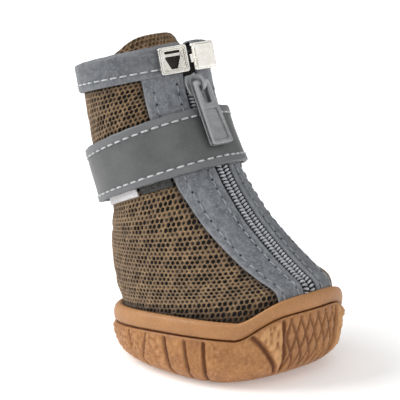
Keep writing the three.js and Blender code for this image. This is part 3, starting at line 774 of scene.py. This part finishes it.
class Flattened:
    """One side of the upper laid flat: along is the length round it from the side line towards the
    front, and up is the length up the side line."""

    def __init__(self):
        self.levels = np.linspace(HEM, COLLAR, 181)
        turns = np.linspace(0, math.pi, 361)
        points = face_point(self.levels[:, None], turns[None, :])
        steps = np.linalg.norm(np.diff(points, axis=1), axis=2)
        arcs = np.c_[np.zeros(len(self.levels)), np.cumsum(steps, axis=1)]
        middle = arcs[:, 180]
        side = points[:, 180]
        self.up = run_along(side)
        edge = angle_at(self.levels, SLOT_HALF_WIDTH)
        self.front = middle - np.array([np.interp(e, turns, a) for e, a in zip(edge, arcs)])
        self.back = middle - arcs[:, -1]
        self.grid = np.arange(-80, 80.5, 0.5)
        self.angles = np.array([np.interp(m - self.grid, a, turns) for m, a in zip(middle, arcs)])

    def level(self, up):
        return np.interp(up, self.up, self.levels)

    def limits(self, up):
        return np.interp(up, self.up, self.back), np.interp(up, self.up, self.front)

    def angle(self, along, up):
        row = np.clip(np.interp(up, self.up, np.arange(len(self.up))), 0, len(self.up) - 1.001)
        col = np.clip((along - self.grid[0]) * 2, 0, len(self.grid) - 1.001)
        r, c = row.astype(int), col.astype(int)
        a, b = row - r, col - c
        low = blend(self.angles[r, c], self.angles[r, c + 1], b)
        high = blend(self.angles[r + 1, c], self.angles[r + 1, c + 1], b)
        return blend(low, high, a)


def knit(along_range, up_range, keep):
    """A knitted face laid flat: six-sided cells, each with a rim and a sunk floor. Every fourth row
    and every fourth slanting line of holes is nearly closed. Gives flat points, depths, faces, paint."""
    half_x, half_y = HOLE_PITCH / 2, HOLE_PITCH / math.sqrt(3) / 2
    flat, depth, paint, faces, corners = [], [], [], [], {}

    def point(x, y, down, pit, shade):
        flat.append((x, y))
        depth.append(down)
        paint.append((pit, 0.0, shade))
        return len(flat) - 1

    def corner(key):
        if key not in corners:
            lift = chance.uniform(-0.07, 0.05)
            corners[key] = point(key[0] * half_x, key[1] * half_y, lift, 0.0, chance.uniform(0, 0.5))
        return corners[key]

    rows = [math.floor(v / (3 * half_y)) for v in up_range]
    columns = [math.floor(v / HOLE_PITCH) for v in along_range]
    for j in range(rows[0], rows[1] + 1):
        for i in range(columns[0], columns[1] + 1):
            x, y = 2 * i + j % 2, 3 * j
            if not keep(x * half_x + HOLE_SHEAR * y * half_y, y * half_y):
                continue
            closed = (x - j) // 2 % CLOSED_EVERY == 3 or j % CLOSED_EVERY == 3
            size = chance.uniform(0.86, 1.08) * (CLOSED_SIZE if closed else 1.0)
            sunk = HOLE_DEPTH * (CLOSED_DEPTH if closed else 1.0) * chance.uniform(0.9, 1.1)
            floor_pit = CLOSED_PIT if closed else 1.0
            shade = chance.uniform(0, 1)
            mid_x = x * half_x + chance.uniform(-0.08, 0.08)
            mid_y = y * half_y + chance.uniform(-0.06, 0.06)
            outer = [corner((x + dx, y + dy)) for dx, dy in HEX_CORNERS]
            ring = outer
            # pit sets how much painted shade the shader gives the rim and the floor of each hole.
            for share, down, pit in ((RIM_SHARE, RIM_DEPTH, 0.2), (FLOOR_SHARE, sunk, floor_pit)):
                inner = [point(mid_x + dx * half_x * share * size, mid_y + dy * half_y * share * size,
                               -down, pit, shade) for dx, dy in HEX_CORNERS]
                faces.extend((ring[k], ring[(k + 1) % 6], inner[(k + 1) % 6], inner[k]) for k in range(6))
                ring = inner
            faces.append(tuple(ring))
    flat = np.array(flat)
    flat[:, 0] += HOLE_SHEAR * flat[:, 1]
    return flat, np.array(depth), faces, np.array(paint)


def make_upper():
    """The knit of both sides, and the lining under it."""
    table = Flattened()
    low, high = np.interp([KNIT_LOW, KNIT_HIGH], table.levels, table.up)
    form = Form()

    def keep(along, up):
        if not low < up < high:
            return False
        back, front = table.limits(up)
        return back - 0.4 * HOLE_PITCH < along < front + 0.4 * HOLE_PITCH

    for side in (-1, 1):
        flat, depth, faces, paint = knit((-100, 100), (low, high), keep)
        along, up = flat.T
        back, front = table.limits(up)
        along = np.clip(along, back, front)
        level = table.level(up)
        angle = side * table.angle(along, up)
        seam = -0.55 * bump(along, back, 0.9)
        paint[:, 1] = edge_shade(level, angle)
        form.add(skin(level, angle, depth + seam + crease(level, angle)), faces, paint, flat)
    upper = form.piece("knit_upper", "air_mesh", KNIT)
    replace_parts(upper, "upper")
    levels = np.linspace(HEM, COLLAR, 55)
    slot = angle_at(levels, SLOT_HALF_WIDTH)[:, None]
    angles = np.c_[np.zeros(len(levels)), blend(slot, 2 * math.pi - slot, np.linspace(0, 1, 120))]
    levels_at = levels[:, None]
    grids = [skin(levels_at, angles, crease(levels_at, angles) - under) for under in (LINING_FACE, WALL)]
    columns = angles.shape[1]
    hole = lambda row, col: levels[row] >= LIP and col in (0, columns - 1)
    faces = wall_faces(len(levels), columns, True, hole)
    Form().add(grids, faces).piece("upper_lining", "air_mesh", LINING)


def edge_shade(level, angle):
    """1 where shade is painted on the knit: along the lip, beside the zip facings and under strap and
    binding.
    """
    above_lip = 1 - smooth(level, lip_level(angle) - 0.05, lip_level(angle) + 0.42)
    band = angle_at(level, column("zip_band", level))
    beside = (1 - smooth(np.abs(angle), band + 0.02, band + 0.09)) * 0.8
    under = bump(level, BAND_LOW, 0.1) * 0.7 + bump(level, STRAP_LOW - 0.05, 0.1) * 0.6
    return np.clip(above_lip + beside + under, 0, 1)


# ---- tongue --------------------------------------------------------------------------------------

TONGUE = {"thick": 2.4, "clearance": 1.0, "low_half": 11.5, "high_half": 18.6, "low": 2.6, "crown": 9.2,
          "drop": 0.75, "lean": 7.2}
TONGUE_LENGTH = 73.0
LEVEL_HEIGHT = 9.0
TONGUE_PIT, TONGUE_SHADE = 0.32, 0.15


def make_tongue():
    """One knitted face up the front of the pad, over its crown and down its back."""
    radius = TONGUE["thick"] / 2
    total = 2 * TONGUE_LENGTH + math.pi * radius
    widest = TONGUE["high_half"] + 1

    def keep(along, up):
        return 0 < up < total and abs(along) < widest

    flat, depth, faces, paint = knit((-60, 60), (0, total), keep)
    along, up = flat[:, 0], np.clip(flat[:, 1], 0, total)
    share = np.clip(along / TONGUE["high_half"], -1, 1)
    turn = np.clip((up - TONGUE_LENGTH) / radius, 0, math.pi)
    climb = np.clip(np.minimum(up, total - up) / TONGUE_LENGTH, 0, 1)
    top = TONGUE["crown"] - TONGUE["drop"] * share ** 4
    half = blend(TONGUE["low_half"], TONGUE["high_half"], climb)
    puff = np.sqrt(np.clip(1 - share ** 6, 0, 1))
    level = blend(TONGUE["low"], top, climb) + radius * np.sin(turn) / LEVEL_HEIGHT * puff
    middle = -WALL - TONGUE["clearance"] - radius
    out = middle + puff * (radius * np.cos(turn) + depth)
    soft = 0.35 * value_noise(along, up, 7.0, 8) * climb
    points = skin_at_side(level, share * half, out + soft)
    points[:, 0] -= TONGUE["lean"] * climb ** 6
    # The tongue's holes get less painted shade and its cells less random tone; its lower part, inside the
    # shaft, gets painted shade.
    paint[:, 0] *= TONGUE_PIT
    paint[:, 2] *= TONGUE_SHADE
    paint[:, 1] = (1 - smooth(climb, 0.8, 0.93)) * 0.8
    tongue = Form().add(points, faces, paint, flat).piece("padded_tongue", "air_mesh", KNIT)
    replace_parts(tongue, "tongue")


# ---- zip -----------------------------------------------------------------------------------------

ZIP_OPENING = 2.9
BAND_THICKNESS = 0.65
ZIP_LOW, ZIP_HIGH = 0.6, 8.03
TAPE_BACK = -1.2
LIP_SINK = 0.1
COIL_PITCH = 1.15
COIL_RADII = (0.3, 0.38, 0.41, 0.41, 0.38, 0.3)
# Half a turn of the coil: how far to the side, how far out, and how far ahead up the zip.
COIL_ARCH = ((0.66, -0.1, -0.16), (0.7, 0.5, -0.13), (1.0, 0.86, -0.05), (1.45, 0.86, 0.05),
             (1.8, 0.5, 0.13), (1.9, -0.1, 0.18))
TAPE_HALF = 6.4
FACING_STEP = 0.55
FACING_SHARES = np.r_[0, 0.012, 0.04, np.arange(0.08, 0.84, 0.06), 0.86, 0.9, 0.94, 0.97, 0.99, 1.0]


def evenly_up(step, low=ZIP_LOW, high=ZIP_HIGH):
    """Levels up the front that lie evenly apart along the face."""
    return evenly(lambda level: skin_at_side(level, 0.0), low, high, step, 800)


def out_of_lip(side):
    """Level from which a piece beside the zip shows above the lip."""
    return lip_level(angle_at(LIP, side)) - LIP_SINK


def make_facings():
    """The cloth bands beside the zip, each with a fold along its inner edge."""
    shares = FACING_SHARES
    rounded_off = round_edge(shares, 0.06) * round_edge(1 - shares, 0.04)
    fold = 0.35 * bump(shares, 0.07, 0.06)
    under = np.full(len(shares), GAP - 0.05)
    for side, name, node_name in ((-1, "zip_facing_right", "zip_band_right"),
                                  (1, "zip_facing_left", "zip_band_left")):
        rings, places = [], []
        for i, whole in enumerate(evenly_up(FACING_STEP)):
            along = i * FACING_STEP
            distance = blend(ZIP_OPENING, column("zip_band", whole), shares)
            climb = (whole - ZIP_LOW) / (ZIP_HIGH - ZIP_LOW)
            level = blend(out_of_lip(distance), ZIP_HIGH, climb)
            ripple = 0.1 * value_noise(distance, along, 1.6, 21)
            ripple = ripple + 0.07 * value_noise(distance, along, 0.7, 22)
            top = GAP + 0.1 + rounded_off * (BAND_THICKNESS - 0.1 + fold + ripple)
            across = there_and_back(distance)
            rings.append(skin_at_side(there_and_back(level), side * across, there_and_back(top, under)))
            places.append(stacked(across, along))
        facing = Form().loft(rings, places=places).piece(name, "blue_webbing", FACING)
        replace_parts(facing, node_name)


def make_chain():
    """The tape behind the zip, and the coil that stands out of it on both sides of the middle."""
    levels = evenly_up(1.0)
    steps = np.arange(len(levels))
    sides = np.linspace(-TAPE_HALF, TAPE_HALF, 27)
    grids = [skin_at_side(levels[:, None], sides[None, :], out) for out in (-0.05, TAPE_BACK)]
    places = [stacked(sides[None, :], steps[:, None])] * 2
    tape = Form().add(grids, wall_faces(len(levels), len(sides)), places=places)
    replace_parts(tape.piece("zip_tape_strip", "zip_tape", TAPE), "zip_chain")
    coil = Form()
    turns = evenly_up(COIL_PITCH, float(out_of_lip(0.0)) + LIP_SINK, ZIP_HIGH - 0.1)
    outward = skin_at_side(turns[0], 0.0, 1.0) - skin_at_side(turns[0], 0.0, 0.0)
    for side, shift in ((-1, 0.0), (1, 0.5)):
        for at in np.interp(turns, levels, steps):
            path = []
            for across, out, ahead in COIL_ARCH:
                level = np.interp(at + (shift * COIL_PITCH + ahead * 1.3), steps, levels)
                path.append(skin_at_side(level, side * across, out))
            coil.tube(path, COIL_RADII, np.cross(outward, (0, 1, 0)))
    coil.piece("zip_coil", "zip_tape", COIL)


# ---- strap, binding and small tapes --------------------------------------------------------------

STRAP_WIDTH = 20.0
STRAP_MIDDLE, STRAP_RISE = 0.6, 0.45  # how far out its edges meet, and its face above that
STRAP_STEP = 0.5
HEM_WIDTH, HEM_LINE = 3.0, 3.05
STRAP_START, STRAP_END = 0.95, 2 * math.pi + 2.15
LIFT_START, LIFT_END, LIFT = 2 * math.pi + 0.32, 2 * math.pi + 0.9, 1.45
STITCH_SAMPLES = 8
STITCH_RISE = np.array((-0.22, 0.1, 0.17, 0.19, 0.17, 0.1, -0.22))
STITCH_SWELL = np.array((0.6, 0.95, 1.05, 1.08, 1.05, 0.95, 0.6))


def strap_stand_off(level, angle):
    climb = level - STRAP_LOW
    slack = blend(3.0, 0.9, climb)
    back = np.maximum(0, -np.cos(angle)) ** 1.5
    front = np.minimum(1, 2 * np.maximum(0, np.cos(angle)))
    return 1.05 + 0.3 * front + slack * back + LIFT * smooth(angle, LIFT_START, LIFT_END)


def strap_level(across):
    """Level of a line across the strap, from 0 at its lower edge to STRAP_WIDTH."""
    return STRAP_LOW + 0.02 + 0.96 * across / STRAP_WIDTH


def strap_point(angle, across, out):
    level = strap_level(across)
    return skin(level, angle, strap_stand_off(level, angle) + out)


def stitches(form, place, start, end, dash=2.5, gap=0.85, thick=0.27, holes=None):
    """A row of single stitches along place(angle, out), with a needle hole between each two."""
    count = STITCH_SAMPLES
    marks = evenly(lambda a: place(a, 0.0), start, end, (dash + gap) / count)
    length = max(2, round(count * dash / (dash + gap)))
    for first in range(0, len(marks) - count, count):
        at = np.linspace(marks[first], marks[first + length], len(STITCH_RISE))
        path = place(at, STITCH_RISE + chance.uniform(-0.02, 0.02))
        outward = place(at[3:4], np.array([1.0]))[0] - place(at[3:4], np.array([0.0]))[0]
        form.tube(path, thick * STITCH_SWELL, outward)
        if holes is not None:
            after = marks[min(first + count, len(marks) - 1)]
            dot(holes, place, (marks[first + length] + after) / 2)


def dot(form, place, at):
    """A small sunk ring: the dark mouth of a needle hole."""
    centre, above = (place(np.array([at]), np.array([out]))[0] for out in (0.0, 1.0))
    out = (above - centre) / np.linalg.norm(above - centre)
    side = np.cross(out, (0, 0, 1.0))
    side /= np.linalg.norm(side)
    up = np.cross(side, out)
    turns = np.arange(8) * math.pi / 4
    rings = [centre + out * lift + r * (np.outer(np.cos(turns), side) + np.outer(np.sin(turns), up))
             for r, lift in ((0.30, -0.15), (0.36, 0.03), (0.22, 0.05), (0.12, -0.06))]
    form.loft(rings)


def make_strap():
    """The strap round the shaft, with a hem along both edges and a row of stitches in each."""
    near = np.array((0, 0.1, 0.3, 0.6, 1.0, 1.6, 2.2, 2.6, 2.85, 3.05, 3.25, 3.6, 4.6, 6.2, 8.0))
    across = np.r_[near, STRAP_WIDTH / 2, STRAP_WIDTH - near[::-1]]
    edge = np.minimum(across, STRAP_WIDTH - across)
    rounded_off = round_edge(edge, 0.7)
    hem = 1 - smooth(edge, HEM_WIDTH - 0.15, HEM_WIDTH + 0.1)
    line = bump(edge, HEM_LINE, 0.28)
    body = STRAP_MIDDLE + rounded_off * (STRAP_RISE + 0.22 * hem - 0.12 * line)
    middle = lambda angle: strap_point(angle, STRAP_WIDTH / 2, 0.0)
    stations = evenly(middle, STRAP_START, STRAP_END, STRAP_STEP)
    rings, paint, places = [], [], []
    for i, angle in enumerate(stations):
        along = i * STRAP_STEP
        pucker = 0.07 * line * math.cos(2 * math.pi * along / 3.35)
        wave = 0.12 * value_noise(across, along, 6.0, 31)
        end = min(i, len(stations) - 1 - i) * STRAP_STEP
        pinch = round_edge(end, 1.0) * 0.35 + 0.65
        corner = 2.2 * (1 - round_edge(end, 3.0))
        shift = blend(corner, STRAP_WIDTH - corner, across / STRAP_WIDTH)
        wobble = 0.1 * math.sin(along * 2 * math.pi / 6.7) * np.sign(across - STRAP_WIDTH / 2) * (edge < 1)
        top = (body + pucker * rounded_off) * pinch + wave * rounded_off
        low = STRAP_MIDDLE * (1 - rounded_off) + wave * rounded_off
        full = there_and_back(shift + wobble)
        rings.append(strap_point(angle, full, there_and_back(top, low)))
        # Paint: the hems for their painted highlight and the stitch lines' hollows for painted shade.
        paint.append(stacked(there_and_back(hem), there_and_back(line, 0 * line), 0))
        places.append(stacked(full, along))
    strap = Form().loft(rings, paint, places).piece("closure_strap", "strap_webbing", STRAP_CLOTH)
    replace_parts(strap, "strap")
    thread = Form()
    height = STRAP_MIDDLE + STRAP_RISE - 0.02
    for row_at in (HEM_LINE, STRAP_WIDTH - HEM_LINE):
        place = lambda a, out, at=row_at: strap_point(a, at, height + out)
        stitches(thread, place, STRAP_START + 0.05, STRAP_END - 0.05, thick=0.3)
    thread.piece("strap_stitching", "white_tape", THREAD)


BINDING_THICKNESS = 1.3
BINDING_OPENING = 0.13
BINDING_STEP = 0.6
BINDING_STITCH = 0.205
BINDING_TOP = GAP + BINDING_THICKNESS
# Section of the binding: how far up it, and its share of the thickness on the outside.
BINDING_OUTSIDE = (
    (0.0, 0.1), (0.0, 0.6), (0.03, 0.9), (0.08, 1.0), (0.14, 1.0), (0.18, 0.95), (BINDING_STITCH, 0.86),
    (0.23, 0.95), (0.27, 1.0), (0.4, 1.03), (0.55, 1.04), (0.7, 1.03), (0.85, 1.0), (0.95, 0.97), (1.0, 0.85),
)
# Over the collar's edge, down inside and back under the face: how far up, and how far out in mm.
BINDING_INSIDE = (
    (1.045, 1.0), (1.07, 0.3), (1.075, -0.6), (1.06, -1.5), (1.03, -2.2), (0.98, -2.55), (0.9, -2.6),
    (0.75, -2.6), (0.66, -2.5), (0.65, -2.2), (0.8, -2.08), (0.96, -2.05), (0.985, -1.2), (0.985, -0.2),
    (0.96, GAP), (0.5, GAP - 0.03),
)


def binding_point(angle, climb, out):
    """climb is 0 at the binding's lower edge and 1 at the collar's edge."""
    return skin(BAND_LOW + climb, angle, out)


def make_binding():
    """A folded band over the collar's edge: up the outside, over the top and a little down inside."""
    outside = [(climb, GAP + BINDING_THICKNESS * share) for climb, share in BINDING_OUTSIDE]
    climbs, outs = np.array(outside + list(BINDING_INSIDE)).T
    start, end = BINDING_OPENING, 2 * math.pi - BINDING_OPENING
    rings, places = [], []
    for i, angle in enumerate(evenly(lambda a: binding_point(a, 0.5, BINDING_TOP), start, end, BINDING_STEP)):
        along = i * BINDING_STEP
        wave = 0.12 * value_noise(climbs * 10, along, 5.0, 41)
        wave = wave + 0.05 * value_noise(climbs * 10, along, 1.2, 42)
        drop = 0.012 * value_noise(0.0, along, 4.0, 43)
        rings.append(binding_point(angle, climbs + drop * (climbs > 0.9), outs + wave * (outs > 0.6)))
        places.append(stacked(climbs * 9, along))
    binding = Form().loft(rings, places=places).piece("collar_binding", "blue_webbing", BINDING)
    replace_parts(binding, "collar_band")
    thread = Form()
    place = lambda a, out: binding_point(a, BINDING_STITCH, BINDING_TOP - 0.12 + out)
    stitches(thread, place, start + 0.36, end - 0.36, thick=0.28)
    thread.piece("binding_stitching", "white_tape", THREAD)


def make_facing_stitches():
    thread, holes = Form(), Form()
    for side in (-1, 1):
        for share, dash, gap in ((0.24, 2.2, 1.0), (0.8, 2.5, 1.2)):
            def place(level, out, side=side, share=share):
                across = blend(ZIP_OPENING, column("zip_band", level), share)
                return skin_at_side(level, side * across, GAP + BAND_THICKNESS + 0.02 + out)

            start = float(out_of_lip(side * (ZIP_OPENING + 9 * share))) + LIP_SINK
            stitches(thread, place, start, ZIP_HIGH - 0.1, dash, gap, 0.2, holes)
    thread.piece("facing_stitching", "white_tape", GREY_THREAD)
    # The needle holes' near-black finish is painted shade.
    holes.piece("facing_needle_holes", "blue_webbing", NEEDLE)


PATCH_SPAN = 0.4
PATCHES = (
    {"name": "loop_strip", "node_name": "strap_base", "slot": "dark_loop", "finish": LOOP,
     "levels": (5.82, 6.3), "angles": (-1.37, -0.87), "thick": 0.35, "seed": 51},
    {"name": "blank_label", "node_name": "label_tab", "slot": "white_tape", "finish": LABEL,
     "levels": (5.8, 6.3), "angles": (-2.25, -1.43), "thick": 0.35, "seed": 52},
)


def make_patch(name, node_name, slot, finish, levels, angles, thick, seed):
    """A small strip on the upper with rounded edges and a soft wave."""
    shares = np.linspace(0, 1, 15)
    crown = round_edge(np.minimum(shares, 1 - shares), 0.12)
    across = there_and_back(shares)
    under = np.full(len(shares), GAP - 0.1)
    rings, places = [], []
    for i, angle in enumerate(np.linspace(*angles, 48)):
        wave = 0.1 * value_noise(shares * 4, i * PATCH_SPAN, 2.5, seed)
        top = GAP + 0.1 + thick * crown + wave
        rings.append(skin(blend(*levels, across), angle, there_and_back(top, under)))
        places.append(stacked(across * 5, i * PATCH_SPAN))
    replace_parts(Form().loft(rings, places=places).piece(name, slot, finish), node_name)


# ---- metal parts ---------------------------------------------------------------------------------


def rounded(corners, radius, steps=5):
    """Closed outline through corner points, with round corners."""
    corners = [Vector(c) for c in corners]
    line = []
    for i, corner in enumerate(corners):
        to_last = (corners[i - 1] - corner).normalized() * radius
        to_next = (corners[(i + 1) % len(corners)] - corner).normalized() * radius
        for t in np.linspace(0, 1, steps + 1):
            line.append(corner + to_last * (1 - t) ** 2 + to_next * t ** 2)
    return line


def box_outline(width, low, high, top_width=None):
    top = width if top_width is None else top_width
    return ((-width / 2, low), (width / 2, low), (top / 2, high), (-top / 2, high))


def plate(outlines, low, high, bevel):
    """Flat plate between two heights, cut through by every outline after the first, edges rounded."""
    curve = bpy.data.curves.new("plate", "CURVE")
    curve.dimensions = "2D"
    curve.fill_mode = "BOTH"
    curve.extrude = ((high - low) / 2 - bevel) * MM
    curve.bevel_depth = bevel * MM
    curve.bevel_resolution = 2
    curve.offset = -bevel * MM
    for line in outlines:
        spline = curve.splines.new("POLY")
        spline.points.add(len(line) - 1)
        for dot_at, p in zip(spline.points, line):
            dot_at.co = (p.x * MM, p.y * MM, 0, 1)
        spline.use_cyclic_u = True
    obj = linked("plate", curve)
    bpy.context.view_layer.update()
    mesh = bpy.data.meshes.new_from_object(obj.evaluated_get(bpy.context.evaluated_depsgraph_get()))
    bpy.data.objects.remove(obj)
    bpy.data.curves.remove(curve)
    mesh.transform(Matrix.Translation((0, 0, (low + high) / 2 * MM)))
    return mesh


BAR_CORNER = 0.25


def bar(path, width, height):
    """A bar of rounded square section along a path in the drawing's own frame."""
    path = np.asarray(path, float)
    run = np.gradient(path, axis=0)
    run /= np.linalg.norm(run, axis=1, keepdims=True)
    side = np.array((1.0, 0, 0))
    section = rounded(box_outline(width, -height / 2, height / 2), BAR_CORNER, 3)
    tops = np.cross(side, run)
    rings = [[p + s.x * side + s.y * top for s in section] for p, top in zip(path, tops)]
    return Form().loft(rings).mesh("bar")


def joined(name, meshes, matrix, slot, finish, body=BOOT):
    """One piece from several meshes, with crisp edges, moved by the matrix."""
    points, faces = [], []
    for mesh in meshes:
        base = len(points)
        points += [matrix @ v.co for v in mesh.vertices]
        faces += [tuple(base + i for i in p.vertices) for p in mesh.polygons]
        bpy.data.meshes.remove(mesh)
    whole = bpy.data.meshes.new(name)
    whole.from_pydata(points, [], faces)
    obj = as_piece(whole, slot, finish, body)
    crisp = obj.modifiers.new("Crisp faces", "WEIGHTED_NORMAL")
    crisp.keep_sharp = True
    obj.data.set_sharp_from_angle(angle=math.radians(50))
    return obj


def on_face(level, angle, out):
    """Frame of a flat piece on the upper: X across the boot, Y up the shaft, Z out of the face."""
    middle = Vector(skin(level, angle, out))
    across = Vector(skin(level, angle + 0.02, out) - skin(level, angle - 0.02, out)).normalized()
    outward = (Vector(skin(level, angle, out + 1)) - middle).normalized()
    up = outward.cross(across).normalized()
    turn = Matrix((across, up, outward)).transposed().to_4x4()
    return Matrix.Translation(middle * MM) @ turn


CLASP_LEVEL, CLASP_ANGLE, CLASP_WIDTH, CLASP_HEIGHT = 8.42, 0.31, 9.8, 8.6
CLASP_BASE, CLASP_TOP = 0.8, 1.5
HOOK_TURN, HOOK_CLOSER, HOOK_LET_IN = 0.28, 1.0, 0.9


def make_clasps():
    stand = GAP + BINDING_THICKNESS + GAP
    half = CLASP_HEIGHT / 2
    body = rounded(box_outline(CLASP_WIDTH, -half, half), 1.0)
    slot = rounded(box_outline(5.2, 2.0, 2.85), 0.3, 3)
    window = rounded(box_outline(2.2, -2.8, 1.1, top_width=5.6), 0.4, 3)
    inside = rounded(box_outline(CLASP_WIDTH - 2.0, -half + 1.0, half - 1.0), 0.6, 3)
    ledge = rounded(box_outline(CLASP_WIDTH - 3.0, -half + 1.5, half - 1.5), 0.5, 3)
    near = on_face(CLASP_LEVEL, -CLASP_ANGLE, stand)
    meshes = [plate([body, slot, window], 0, CLASP_BASE, 0.12),
              plate([inside, ledge], 0.2, CLASP_BASE + 0.3, 0.2),
              plate([body, inside], 0.2, CLASP_TOP, 0.25)]
    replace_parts(joined("clasp_frame", meshes, near, "nickel", NICKEL), "clasp_eye")
    # A dark plate behind the clasp's window: painted shade.
    backing = rounded(box_outline(CLASP_WIDTH - 1.2, -half + 0.6, half - 0.6), 0.5, 3)
    joined("clasp_backing", [plate([backing], -0.15, 0.12, 0.04)], near, "nickel", CLASP_WINDOW_SHADE)
    fold = rounded(box_outline(CLASP_WIDTH - 1.4, -half + 0.5, half - 0.5), 0.9)
    middle = Vector((-CLASP_WIDTH / 2 - 0.2, -0.4))
    tongue = [p + middle for p in rounded(box_outline(1.6, -1.3, 1.3), 0.3, 3)]
    far = on_face(CLASP_LEVEL, CLASP_ANGLE, stand - HOOK_LET_IN)
    far = far @ Matrix.Translation(((-CLASP_WIDTH / 2 - HOOK_CLOSER) * MM, 0, 0))
    far = far @ Matrix.Rotation(-HOOK_TURN, 4, "Y") @ Matrix.Translation((CLASP_WIDTH / 2 * MM, 0, 0))
    meshes = [plate([body], 0, CLASP_BASE, 0.2), plate([fold], 0.3, CLASP_TOP, 0.32),
              plate([tongue], 0, 0.6, 0.15)]
    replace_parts(joined("clasp_plate", meshes, far, "nickel", NICKEL), "clasp_hook")


SLIDER_LEVEL, SLIDER_UNDER, SLIDER_FACE = 7.58, 1.3, 2.5
BAIL_RADIUS = 1.55
PULL_LENGTH, PULL_THICKNESS, PULL_LEAN = 20.2, 2.2, 0.512


def make_slider():
    near = on_face(SLIDER_LEVEL, 0.0, 0.0)
    shield = rounded(((-2.7, -3.3), (2.7, -3.3), (4.1, 0.6), (3.6, 3.2), (-3.6, 3.2), (-4.1, 0.6)), 0.9)
    crown = rounded(((-1.7, -2.7), (1.7, -2.7), (2.6, 0.6), (2.2, 2.6), (-2.2, 2.6), (-2.6, 0.6)), 0.7)
    arc = np.linspace(0, math.pi, 13)
    mid = BAIL_RADIUS + 0.47
    arch = [(0, mid * math.cos(a), SLIDER_FACE + BAIL_RADIUS + mid * math.sin(a)) for a in arc]
    arch = [(0, mid, SLIDER_FACE - 0.35)] + arch + [(0, -mid, SLIDER_FACE - 0.35)]
    meshes = [plate([shield], SLIDER_UNDER, SLIDER_FACE - 0.3, 0.3),
              plate([crown], SLIDER_FACE - 0.6, SLIDER_FACE, 0.2), bar(arch, 1.3, 0.95)]
    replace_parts(joined("slider_body", meshes, near, "grey_paint", PAINTED_METAL), "zip_slider")


def make_pull():
    hinge = Vector(skin(SLIDER_LEVEL, 0.0, SLIDER_FACE + BAIL_RADIUS))
    up = Vector((-math.sin(PULL_LEAN), 0, math.cos(PULL_LEAN)))
    across = Vector((0, 1, 0))
    turn = Matrix((across, up, across.cross(up))).transposed().to_4x4()
    place = Matrix.Translation(hinge * MM) @ turn
    half = PULL_THICKNESS / 2
    shape = rounded(box_outline(8.6, -PULL_LENGTH, half, top_width=6.6), 1.3, 6)
    slot = rounded(((-1.3, -6.6), (1.3, -6.6), (1.7, -0.85), (-1.7, -0.85)), 0.6, 4)
    panel = rounded(box_outline(6.0, -PULL_LENGTH + 1.4, -8.6, top_width=4.8), 0.8, 5)
    meshes = [plate([shape, slot, panel], -half, half, 0.35), plate([shape, slot], -0.5, 0.5, 0.1)]
    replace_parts(joined("pull_tab", meshes, place, "grey_paint", PAINTED_METAL, PULL), "zip_pull")


# ---- studio --------------------------------------------------------------------------------------

VIEW_AZIMUTH, VIEW_ELEVATION, VIEW_WIDTH = 45, 13.5, 0.126
LENS, SENSOR = 180.0, 36.0
AIM = Vector((-0.012, 0, 0.049))
SKY, FLOOR_GLOW, FLOOR_REACH = 0.33, 0.27, 6.0
SUNS = (
    {"name": "Key", "azimuth": -48, "elevation": 38, "strength": 2.5, "spread": 50},
    {"name": "Top", "azimuth": 60, "elevation": 75, "strength": 0.4, "spread": 60},
    {"name": "Fill", "azimuth": 128, "elevation": 24, "strength": 0.55, "spread": 60},
)
SOFTBOX = {"azimuth": 45, "elevation": 28, "distance": 0.9, "size": 0.5, "power": 1.3}


def aimed(data, azimuth, elevation, distance):
    """A camera or a light at a distance from the boot, turned to it. Azimuth 0 is the boot's right."""
    obj = linked(data.name, data)
    side, rise = math.radians(azimuth), math.radians(elevation)
    away = Vector((math.sin(side) * math.cos(rise), -math.cos(side) * math.cos(rise), math.sin(rise)))
    obj.location = AIM + away * distance
    obj.rotation_mode = "QUATERNION"
    obj.rotation_quaternion = away.to_track_quat("Z", "Y")
    return obj


def make_camera():
    data = bpy.data.cameras.new("Camera")
    data.lens, data.sensor_width = LENS, SENSOR
    data.clip_start, data.clip_end = 0.01, 20
    bpy.context.scene.camera = aimed(data, VIEW_AZIMUTH, VIEW_ELEVATION, VIEW_WIDTH * LENS / SENSOR)


def make_lights():
    for row in SUNS:
        sun = bpy.data.lights.new(row["name"], "SUN")
        sun.energy, sun.angle = row["strength"], math.radians(row["spread"])
        aimed(sun, row["azimuth"], row["elevation"], 1.0)
    softbox = bpy.data.lights.new("Softbox", "AREA")
    softbox.shape = "DISK"
    softbox.size, softbox.energy = SOFTBOX["size"], SOFTBOX["power"]
    aimed(softbox, SOFTBOX["azimuth"], SOFTBOX["elevation"], SOFTBOX["distance"])
    world = bpy.data.worlds.new("Studio")
    world.use_nodes = True
    background = world.node_tree.nodes["Background"].inputs
    background["Color"].default_value = WHITE
    background["Strength"].default_value = SKY
    bpy.context.scene.world = world


def pale_nodes(tree):
    shade = mottled(tree, ((250, 250, 250), (253, 253, 253), (255, 255, 255)), (8, 60, 0.2))
    return {"Base Color": shade["Colour"], "Emission Color": shade["Colour"]}


def make_floor():
    mesh = bpy.data.meshes.new("floor")
    corners = [(x * FLOOR_REACH, y * FLOOR_REACH, 0) for x, y in ((-1, -1), (1, -1), (1, 1), (-1, 1))]
    mesh.from_pydata(corners, [], [(0, 1, 2, 3)])
    pale = material("Pale floor", pale_nodes, Roughness=0.7, Specular_IOR_Level=0.1,
                    Emission_Strength=FLOOR_GLOW)
    mesh.materials.append(pale)
    linked("studio_floor", mesh)


make_sole()
make_insole()
make_upper()
make_tongue()
make_facings()
make_chain()
make_facing_stitches()
make_strap()
make_binding()
for row in PATCHES:
    make_patch(**row)
make_clasps()
make_slider()
make_pull()
make_floor()
make_lights()
make_camera()
bpy.context.scene.view_settings.view_transform = "Standard"
